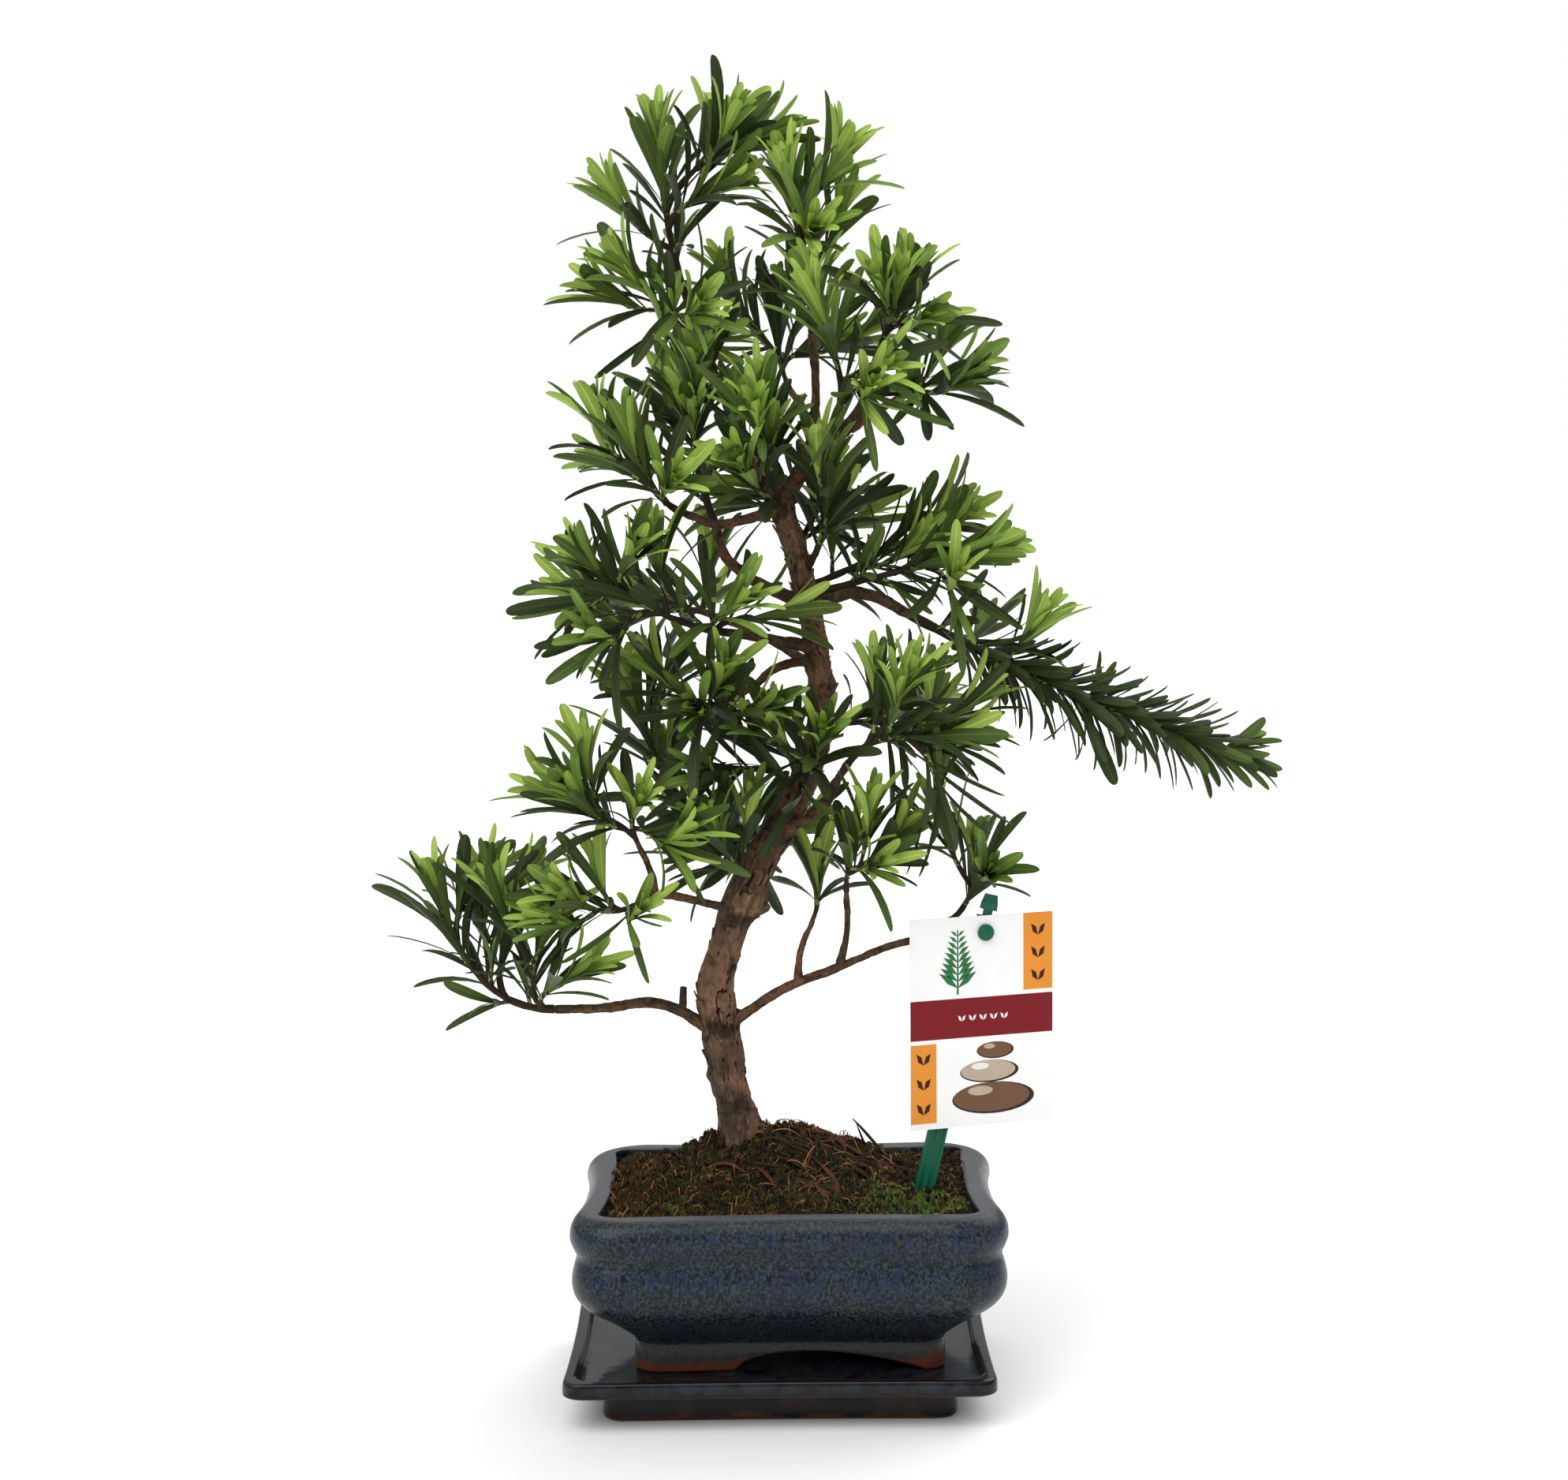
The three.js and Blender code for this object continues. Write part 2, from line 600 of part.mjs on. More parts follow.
// Masses of foliage: what each grows from, how many further shoots of what reach the rule adds,
// and where its stem and main shoots end. A height is on the trunk.
const MASSES = [
  { name: 'low_left_mass', bough: 'low_left_bough', more: 3, reach: 30,
    ends: [[-157.3, -22, 237.4], [-143.8, 5, 243.2], [-107.2, -32, 224.7], [-127.6, -2, 216.5],
      [-100, -34, 203.5]] },
  { name: 'low_right_mass', bough: 'low_right_bough', more: 1, reach: 22,
    ends: [[95.6, 15, 245.6], [98.3, 4, 244.2]] },
  { name: 'riser_inner_mass', bough: 'riser_inner', more: 2, reach: 20,
    ends: [[35.7, -18, 257.4], [40.9, -28, 255]] },
  { name: 'riser_left_mass', bough: 'riser_left', more: 1, reach: 14,
    ends: [[20.2, 8, 237.3]] },
  { name: 'left_second_mass', bough: 'left_second_bough', more: 1, reach: 18,
    ends: [[-87.6, -38, 240.5], [-80.5, -25, 245.7], [-68.4, -32, 232.7]] },
  { name: 'left_second_riser_mass', bough: 'left_second_riser', more: 2, reach: 24,
    ends: [[-64.9, -40, 282.8], [-93.8, -32, 287.5], [-51.6, -48, 271.3]] },
  { name: 'inner_left_mass', height: 248, more: 1, reach: 18,
    ends: [[-25.7, -25, 269.1], [-35, 8, 258]] },
  { name: 'thin_left_mass', height: 254, more: 1, reach: 18,
    ends: [[-65.1, 5, 328.9], [-55.7, 20, 334]] },
  { name: 'stub_mass', height: 290, more: 0, reach: 16,
    ends: [[-17, 2, 319], [-25, -20, 298]] },
  { name: 'mid_left_low_mass', bough: 'mid_left_low_bough', more: 1, reach: 20,
    ends: [[-32.4, -25, 328.6], [-12.9, -40, 330], [-26.5, -38, 342.2]] },
  { name: 'mid_left_mass', bough: 'mid_left_bough', more: 3, reach: 23,
    ends: [[-77.5, -38, 393.6], [-83.4, -33, 381.1], [-69.3, -28, 370.4], [-68, -46, 397.6],
      [-21.5, -42, 376.1], [-3.5, -24, 372.5]] },
  { name: 'upper_left_mass', bough: 'upper_left_bough', more: 3, reach: 24,
    ends: [[-35.4, -18, 481.5], [-38.1, 20, 471.9]] },
  { name: 'fork_left_mass', bough: 'fork_left_bough', more: 2, reach: 18,
    ends: [[-61.4, -36, 449.1], [-69.6, -20, 441.6], [-48, -46, 433]] },
  { name: 'fork_front_mass', height: 423, more: 1, reach: 16,
    ends: [[-10.2, -40, 438.2]] },
  { name: 'fork_inner_mass', height: 425.5, more: 2, reach: 24,
    ends: [[-4.2, -38, 468.3]] },
  { name: 'right_inner_mass', height: 392, more: 1, reach: 22,
    ends: [[25.8, -15, 434.1], [27.4, 8, 417]] },
  { name: 'right_mass', height: 386, more: 1, reach: 22,
    ends: [[73.9, 20, 413], [81.4, 10, 413.4]] },
  { name: 'right_outer_mass', height: 382, more: 1, reach: 22,
    ends: [[89.4, -20, 399.6], [82.1, -30, 385.6]] },
  { name: 'long_arm_mass', bough: 'long_arm_bough', more: 1, reach: 18, arm: true,
    ends: [[213.2, -5, 307.5], [116.8, -22, 361.4], [95.8, 2, 360.7]] },
  { name: 'right_front_mass', bough: 'right_front_bough', more: 3, reach: 18,
    ends: [[75.8, -40, 317.3], [47.7, -38, 334.5], [73.2, -22, 324.5], [75.9, -36, 292.9]] },
  { name: 'right_low_star_mass', height: 292, more: 2, reach: 18,
    ends: [[21, -42, 314]] },
  { name: 'crown_top_mass', bough: 'mid_leader', more: 3, reach: 22,
    ends: [[9.6, 8, 568.4], [20.8, 15, 569.3], [17.9, -5, 548.1]] },
  { name: 'crown_front_mass', bough: 'crown_front_bough', more: 2, reach: 24,
    ends: [[23.9, -38, 508.6], [41.6, -40, 484.4]] },
  { name: 'crown_right_mass', bough: 'crown_right_bough', more: 2, reach: 20,
    ends: [[62.2, -2, 521.1], [65.3, -15, 506.3]] },
  { name: 'crown_far_right_mass', bough: 'crown_far_right_bough', more: 2, reach: 15,
    ends: [[76.1, 15, 487.4], [69.2, -8, 474.8]] },
  { name: 'crown_top_left_mass', bough: 'left_leader', more: 3, reach: 20,
    ends: [[-51.2, 8, 587.7], [-8.3, 18, 594.5], [-28.8, 5, 568.5]] },
  { name: 'crown_left_mass', bough: 'crown_left_bough', more: 2, reach: 16,
    ends: [[-61.2, 2, 527.6], [-49, 5, 501.4], [-39.4, -18, 511.9]] },
  { name: 'back_low_mass', bough: 'back_low_bough', more: 3, reach: 28,
    ends: [[48.4, 74, 318.9], [70.2, 60, 310]] },
  { name: 'back_left_mass', bough: 'back_left_bough', more: 3, reach: 18,
    ends: [[-34.5, 69, 371.5], [-56.6, 60, 374.5]] },
  { name: 'back_crown_mass', bough: 'back_crown_bough', more: 3, reach: 28,
    ends: [[2.6, 70, 508.8], [20.9, 74, 498.7]] },
  { name: 'back_inner_mass', height: 262, more: 2, reach: 26,
    ends: [[-14.7, 50, 254.4]] },
  { name: 'back_upper_mass', height: 404, more: 2, reach: 24,
    ends: [[27, 54, 432], [4, 48, 428]] },
];

// A curve that sets out along a heading and bends round to its end
function sweep(from, heading, to) {
  const reach = from.distanceTo(to) * 0.5;
  const control = from.clone().addScaledVector(heading, reach);
  return new THREE.QuadraticBezierCurve3(from, control, to);
}

function towards(from, to) {
  return to.clone().sub(from).normalize();
}

// Two directions square to an axis and to each other
function crossways(axis) {
  const other = Math.abs(axis.z) < 0.9 ? new THREE.Vector3(0, 0, 1) : new THREE.Vector3(1, 0, 0);
  const side = new THREE.Vector3().crossVectors(axis, other).normalize();
  return [side, new THREE.Vector3().crossVectors(side, axis)];
}

function around(axis, angle) {
  const [side, up] = crossways(axis);
  return side.multiplyScalar(Math.cos(angle)).addScaledVector(up, Math.sin(angle));
}

// The stem, the main shoots that leave it on the way to their ends, and the seeded ones
function shootsOf(mass, seed) {
  const stemEnd = vector(mass.ends[0]);
  const stem = sweep(mass.root, mass.heading, stemEnd);
  const length = stem.getLength();
  const leafy = mass.arm ? length * 0.86 : Math.min(length * 0.7, 38);
  const shoots = [{ number: 0, curve: stem, from: mass.girth, leafy }];
  mass.ends.slice(1).map(vector).forEach((end, i) => {
    const nearest = nearestShare(stem, end);
    const away = stem.getPointAt(nearest).distanceTo(end);
    const share = THREE.MathUtils.clamp(nearest - 0.6 * away / length, 0.06, 0.9);
    const root = stem.getPointAt(share);
    const heading = stem.getTangentAt(share).add(towards(root, end)).normalize();
    const curve = sweep(root, heading, end);
    const bare = Math.max(curve.getLength() * 0.25, curve.getLength() - 34);
    shoots.push({ number: i + 1, curve, from: mass.girth * 0.9, leafy: curve.getLength() - bare });
  });
  for (let i = 0; i < mass.more; i += ONE_SHOOT_IN) {
    const parent = shoots[i % mass.ends.length].curve;
    const share = mix(0.3, 0.8, (i + noise(seed, i, 1)) / mass.more);
    const axis = parent.getTangentAt(share);
    const outward = around(axis, i * GOLDEN_ANGLE + 6.28 * noise(seed, i, 2));
    const heading = axis.multiplyScalar(0.6).addScaledVector(outward, 0.8).normalize();
    const reach = mass.reach * mix(0.8, 1.2, noise(seed, i, 3));
    const root = parent.getPointAt(share);
    const end = root.clone().addScaledVector(heading, reach);
    end.z += reach * 0.25;
    const number = mass.ends.length + i;
    const curve = sweep(root, heading, end);
    shoots.push({ number, curve, from: mass.girth * 0.8, leafy: reach * 0.8 });
  }
  return shoots;
}

// The leaves of one shoot, counted back from its tip: where each is rooted, its direction, its
// width direction and its length
function leavesOf(shoot, arm, seed) {
  const length = shoot.curve.getLength();
  const count = Math.round(shoot.leafy / LEAF_STEP);
  const leaves = [];
  for (let i = 0; i < count; i += 1) {
    const back = i / count;
    const share = 1 - (2.5 + (shoot.leafy - 3) * back) / length;
    const axis = shoot.curve.getTangentAt(share);
    const outward = around(axis, i * GOLDEN_ANGLE + 6.28 * noise(seed, shoot.number, 4));
    const wander = noise(seed + shoot.number * 0.37, i, 5) - 0.5;
    const opening = arm
      ? mix(TIP_ANGLE, ARM_ANGLE, Math.min(back * 5, 1))
      : mix(TIP_ANGLE, BASE_ANGLE, back);
    const angle = radians(opening + 16 * wander);
    const direction = axis.clone().multiplyScalar(Math.cos(angle));
    direction.addScaledVector(outward, Math.sin(angle));
    direction.z += arm ? 0 : LEAF_LIFT;
    direction.normalize();
    const size = arm ? ARM_LEAF_SIZE : 0.72 + 0.34 * Math.sin(Math.PI * back);
    leaves.push({
      root: shoot.curve.getPointAt(share).addScaledVector(direction, -0.4),
      direction,
      across: new THREE.Vector3().crossVectors(direction, outward).normalize(),
      length: LEAF_LENGTH * size * (1 + 0.3 * (noise(seed + shoot.number * 0.61, i, 6) - 0.5)),
      bow: 0.05 + 0.06 * wander,
    });
  }
  return leaves;
}

// A keeled blade: a root, a middle of two edges and a keel, and a tip
function leafSolid(leaf, grow) {
  const face = new THREE.Vector3().crossVectors(leaf.direction, leaf.across);
  const middle = leaf.root.clone().addScaledVector(leaf.direction, leaf.length * 0.5);
  middle.addScaledVector(face, leaf.length * leaf.bow + grow);
  const edge = leaf.across.clone().multiplyScalar(LEAF_HALF_WIDTH + grow * 3);
  const left = middle.clone().sub(edge);
  const right = middle.clone().add(edge);
  const keel = middle.clone().addScaledVector(face, -LEAF_THICKNESS - grow * 3);
  const tip = leaf.root.clone().addScaledVector(leaf.direction, leaf.length + grow * 3);
  const points = [leaf.root, left, right, keel, tip];
  const geometry = new THREE.BufferGeometry().setFromPoints(points);
  geometry.setIndex([0, 1, 2, 0, 2, 3, 0, 3, 1, 4, 2, 1, 4, 3, 2, 4, 1, 3]);
  return toSolid(geometry);
}

function shootSolid(shoot, grow) {
  const steps = Math.max(2, Math.round(shoot.curve.getLength() / 18));
  const radiusAt = (share) => mix(shoot.from, SHOOT_RADIUS, share) + grow;
  return limbSolid(shoot.curve, radiusAt, 3, steps);
}

// A mass: its stem, and those of its shoots and leaves that meet nothing else
function massSolid(mass, seed, limbs, others) {
  const [stem, ...rest] = mass.shoots;
  const pieces = [cutClear(shootSolid(stem, 0), limbs)];
  const kept = [stem, ...rest.filter((shoot) => !meets(shootSolid(shoot, GAP), others))];
  pieces.push(...kept.slice(1).map((shoot) => shootSolid(shoot, 0)));
  kept.forEach((shoot) => {
    const leaves = leavesOf(shoot, mass.arm && shoot === stem, seed);
    leaves.forEach((leaf, i) => {
      if (i % ONE_LEAF_IN === 0 && !meets(leafSolid(leaf, GAP), others)) {
        pieces.push(leafSolid(leaf, 0));
      }
    });
  });
  return largestPiece(joined(pieces));
}

// The whole part

const bonsai = new THREE.Group();

function addPiece(name, solid, material) {
  const mesh = new THREE.Mesh(toGeometry(solid), material);
  mesh.name = name;
  bonsai.add(mesh);
}

function finish(colour, roughness) {
  return new THREE.MeshStandardMaterial({ color: colour, roughness, metalness: 0 });
}

const tray = trayShape();
const pot = potShape();
const soil = cutClear(soilShape(), [stickSolid(plainSection(GAP), GAP), trunkSolid(GAP)]);
const stick = stickShape();
const card = cardShape();
addPiece('tray', tray, finish('#171310', 0.2));
addPiece('pot', pot, finish('#2f3d4f', 0.3));
addPiece('soil', soil, finish('#3a2717', 0.95));
addPiece('label_stick', stick, finish('#0f7a4d', 0.45));
addPiece('label_card', card, finish('#f2f0ec', 0.5));

const limbs = [trunkSolid(GAP)];
addPiece('trunk', trunkSolid(0), finish('#6b5647', 0.85));
const boughByName = new Map();
for (const bough of BOUGHS) {
  const parent = boughByName.get(bough.parent);
  const root = parent ? parent.curve.getPointAt(bough.share) : trunkPoint(bough.height);
  bough.curve = new THREE.CatmullRomCurve3([root, ...bough.path.map(vector)]);
  addPiece(bough.name, cutClear(boughSolid(bough, 0), limbs), finish('#6e5238', 0.85));
  limbs.push(boughSolid(bough, GAP));
  boughByName.set(bough.name, bough);
}

// The shoots of every mass are laid out before any leaf is grown, so that each keeps its space
MASSES.forEach((mass, number) => {
  const bough = boughByName.get(mass.bough);
  if (bough) {
    mass.heading = bough.curve.getTangentAt(1);
    mass.root = bough.curve.getPointAt(1).addScaledVector(mass.heading, GAP);
    mass.girth = bough.radii[1] * 0.95;
  } else {
    mass.root = trunkPoint(mass.height);
    mass.heading = towards(mass.root, vector(mass.ends[0])).setZ(0.3).normalize();
    mass.girth = TRUNK_SHOOT_RADIUS;
  }
  mass.shoots = shootsOf(mass, number + 1);
  mass.space = mass.shoots.slice(0, mass.ends.length).map((shoot) => shootSolid(shoot, GAP));
});

const filled = [tray, pot, soil, stick, card, ...limbs];
MASSES.forEach((mass, number) => {
  const ahead = MASSES.slice(number + 1).flatMap((other) => other.space);
  const solid = massSolid(mass, number + 1, limbs, [...filled, ...ahead]);
  addPiece(mass.name, solid, finish('#3c6a24', 0.5));
  filled.push(solid);
});

export default bonsai;
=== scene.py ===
"""A buddhist pine grown as a small tree in a glazed pot, with its drip tray and plant label."""

import itertools
import math
from collections import namedtuple

import bpy
import numpy as np
from bpy.props import FloatProperty, FloatVectorProperty, IntProperty, PointerProperty
from mathutils import Euler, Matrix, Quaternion


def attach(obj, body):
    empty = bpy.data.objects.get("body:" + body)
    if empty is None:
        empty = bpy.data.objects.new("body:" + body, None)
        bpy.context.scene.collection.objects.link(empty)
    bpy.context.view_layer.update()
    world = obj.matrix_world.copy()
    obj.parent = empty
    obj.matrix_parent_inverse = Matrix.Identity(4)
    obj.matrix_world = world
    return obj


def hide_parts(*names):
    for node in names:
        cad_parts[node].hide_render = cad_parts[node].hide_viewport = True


bl_info = {
    "name": "Buddhist pine in a pot",
    "version": (1, 0, 0),
    "blender": (4, 5, 0),
    "location": "View3D > Sidebar > Bonsai",
    "description": "Builds a small potted tree leaf by leaf round its packed solids",
    "category": "Add Mesh",
}

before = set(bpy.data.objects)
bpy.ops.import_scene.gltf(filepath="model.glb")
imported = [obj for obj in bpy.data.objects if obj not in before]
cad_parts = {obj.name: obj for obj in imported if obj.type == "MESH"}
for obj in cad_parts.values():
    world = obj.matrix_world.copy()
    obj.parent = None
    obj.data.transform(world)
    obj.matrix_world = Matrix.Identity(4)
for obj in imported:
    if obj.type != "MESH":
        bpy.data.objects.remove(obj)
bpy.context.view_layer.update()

# Sizes and places are in millimetres and are brought to metres as each mesh is made. The settings
# in the sidebar and the heights that the glaze changes at are in metres.
MM = 0.001
UP = np.array([0.0, 0.0, 1.0])

# How a turned shape is pressed into a rectangle: how much less deep than half its width it is, how
# hollow its long and short sides are, where its middle is, and how much narrower it is behind
Mould = namedtuple("Mould", "narrower waist centre back_narrower")

# The half width from which a ring is pressed all the way
FULLY_PRESSED_FROM = 66

# Drip tray
TRAY_HALF_WIDTH = 101
TRAY_MOULD = Mould(25, (1.2, 1.2), 0, 0)
TRAY_HEIGHT = 24
TRAY_FLOOR = 20
TRAY_RIM = 6
TRAY_BLOCK_HALF_WIDTH = 83.4
TRAY_BLOCK_HEIGHT = 15.7
TRAY_CORNER = 9

# Pot
POT_X = 5
POT_MOULD = Mould(25, (3, 4.4), POT_X, 0.022)
FOOT_CORNER = 11
POT_CORNER = 24
MOUTH_CORNER = 6
POT_FOOT = TRAY_FLOOR
POT_TOP = 100
POT_INNER_FLOOR = 38
FOOT_HALF_WIDTH = 73.5
FOOT_RING = 12
BELLY_HALF_WIDTH = 101
LIP_WIDTH = 8
RIM_INSET = 5
POT_WALL_AT = BELLY_HALF_WIDTH - RIM_INSET - LIP_WIDTH - 0.5
ARCH_HEIGHT = 9.5
ARCH_FROM = -26
ARCH_TO = 64
ARCH_FADES_AT = 11.5

# Heights in metres where the glaze changes, each the start and the end of one soft change
UNDER_LIP = ((0.077, 0.087), (0.0975, 0.093))
GROOVE = ((0.058, 0.071), (0.079, 0.076))
RIM_BAND = (0.0984, 0.0998)
FOOT_BAND = (0.036, 0.031)
POT_CLAY = (0.0275, 0.0245)
TRAY_BLOCK_BAND = (0.0145, 0.0125)
TRAY_LIP = ((0.017, 0.02), (0.0243, 0.0225))
TRAY_CLAY = (0.0032, 0.0016)

# Colours of the glaze that lie over its body
STREAK_BLUE = (0.017, 0.03, 0.075)
RIM_GREY = (0.075, 0.077, 0.087)
FOOT_GREY = (0.05, 0.045, 0.04)
TRAY_CLOUD = (0.011, 0.004, 0.003)
TRAY_BLOCK_TONES = [(0.38, (0.002, 0.003, 0.008)), (0.5, (0.003, 0.002, 0.002)),
                    (0.6, (0.03, 0.009, 0.006))]

# Soil
SOIL_EDGE = 95
SOIL_TOP = 122
HEAP_RISE = 31
HEAP_FROM_TRUNK = 13
HEAP_LEFT = 52
HEAP_RIGHT = 64
HEAP_SHORT = 36

# Moss: middle, spread, finish and share of the sprigs of each patch
MOSS_PATCHES = [
    ((66, -40), (16, 9), 1, 0.26),
    ((-52, -30), (18, 22), 0, 0.16),
    ((-40, -46), (20, 8), 0, 0.1),
    ((20, -48), (28, 6), 0, 0.09),
    ((0, 36), (40, 12), 0, 0.08),
    ((70, 20), (10, 20), 0, 0.06),
    ((0, -20), (50, 24), 0, 0.22),
    ((-72, -20), (10, 24), 2, 0.12),
    ((-30, -50), (30, 5), 2, 0.05),
    ((-56, 26), (18, 14), 0, 0.07),
    ((-66, 14), (10, 20), 2, 0.05),
]

# Twigs on the soil: both ends, rise, thickness and finish. One of finish 2 rises to its end, and
# the others arch.
TWIG_BITS = [((-5, -1), (8, 0), 4, 0.5, 1), ((50, 6), (36, 6), 10, 1.4, 2),
             ((43, 6), (38, 2), 9, 0.8, 2)]
ROOTLETS = 46
FERN_PLACE = (-50.0, -46.0)
FERN_FRONDS = 8
CHIP_PLACE = (72.0, -50.0)
CHIP_CORNERS = 7

# Trunk
TRUNK_FOOT_RADIUS = 9
TRUNK_FORK_RADIUS = 5
FLARE = 3
FLARE_HEIGHT = 8
TRUNK_BENDS = [
    (-18.2, 3, SOIL_TOP),
    (-24.2, 3, 156),
    (-29.5, -3, 194),
    (-24.9, -6, 213.5),
    (-17.7, -6, 234),
    (-5.5, 0, 258),
    (9.8, 6, 283),
    (22.6, 8, 321),
    (20.9, 4, 354),
    (14, -2, 391.5),
    (3.6, 0, 427),
]

# Knobs on the trunk: height, turn in degrees, how far each stands out and how wide it spreads
KNOBS = [(152, 185, 1.8, 3.2), (239, 5, 4.6, 4.8), (262, 195, 1.6, 3.4), (340, 10, 1.4, 3)]
BARK_FLAKES = 250
LICHEN = (0.04, 0.034, 0.018)

# Boughs: name, height on the trunk or parent bough and share of its length, radii at root and tip,
# and the points that it bends through and ends at
BOUGHS = [
    ("low_left_bough", 170.5, (3, 2),
     [(-47, -6, 185), (-60, -10, 189.5), (-82, -14, 188), (-105, -16, 188)]),
    ("low_right_bough", 173.5, (2.5, 1.6),
     [(4, -4, 194.5), (30, -6, 205), (51, -4, 213.5), (68, 4, 217), (83, 10, 224)]),
    ("riser_inner", ("low_right_bough", 0.53), (1.5, 1.3), [(34, -8, 223), (33.7, -10, 242)]),
    ("riser_left", ("low_right_bough", 0.36), (1.5, 1.2), [(11.4, -3, 211), (18.6, 2, 229)]),
    ("left_second_bough", 233, (2.1, 1.6),
     [(-38.5, -13, 239), (-53, -18, 242.5), (-66, -24, 238.5)]),
    ("left_second_riser", ("left_second_bough", 0.8), (1.6, 1.3),
     [(-58, -22, 253.5), (-64.5, -28, 270)]),
    ("mid_left_low_bough", 352, (2.3, 1.6),
     [(1.7, -4, 348.5), (-10.6, -10, 339.5), (-23, -14, 334.5)]),
    ("mid_left_bough", 357, (2.8, 2), [(2, -10, 362), (-22, -19, 366.5)]),
    ("upper_left_bough", 378, (3.1, 2.2),
     [(2, 8, 383.5), (-11, 14, 390), (-22, 18, 400), (-27.5, 16, 416)]),
    ("long_arm_bough", 376, (3.2, 2.4),
     [(30.6, -4, 382), (39, -6, 384), (50, -8, 381), (64, -10, 373.5)]),
    ("fork_left_bough", 424, (2.6, 1.8), [(-11, -14, 419), (-26, -20, 417), (-39, -26, 422)]),
    ("right_leader", 426, (4, 2.6), [(12.6, 2, 437.5), (21.2, 6, 447), (38, 9, 462)]),
    ("left_leader", 425, (3.4, 2),
     [(-5, 12, 440), (-16, 20, 462), (-27, 24, 488), (-34.5, 24, 508)]),
    ("mid_leader", ("right_leader", 0.3), (2.6, 1.9),
     [(19.5, 13, 457), (21.5, 17, 477), (20, 18, 505)]),
    ("crown_front_bough", ("right_leader", 0.62), (2, 1.5), [(31.8, -12, 463.5), (32.4, -20, 474)]),
    ("crown_right_bough", ("right_leader", 0.9), (2.2, 1.6), [(43, 2, 472), (48, 3, 488)]),
    ("crown_far_right_bough", ("right_leader", 0.97), (2.2, 1.6), [(53, 12, 470), (65, 14, 477)]),
    ("crown_left_bough", ("left_leader", 0.78), (1.8, 1.4), [(-35, 19, 501), (-44, 12, 511)]),
    ("right_front_bough", 268, (2.5, 1.8), [(23.5, -14, 283.5), (29, -22, 296), (35, -28, 306)]),
    ("back_low_bough", 286, (2.4, 1.6), [(16, 28, 297), (22, 46, 305), (30, 60, 311)]),
    ("back_left_bough", 346, (2.4, 1.6), [(4, 26, 356), (-14, 44, 364), (-32, 56, 370)]),
    ("back_crown_bough", ("mid_leader", 0.3), (1.9, 1.4), [(16, 34, 468), (10, 50, 478)]),
]

# A cut stub that stands on the low left bough
PEG = (-44.4, -6, 196)
PEG_RADII = (1.2, 1.4)
PEG_FOOT_BELOW = 9

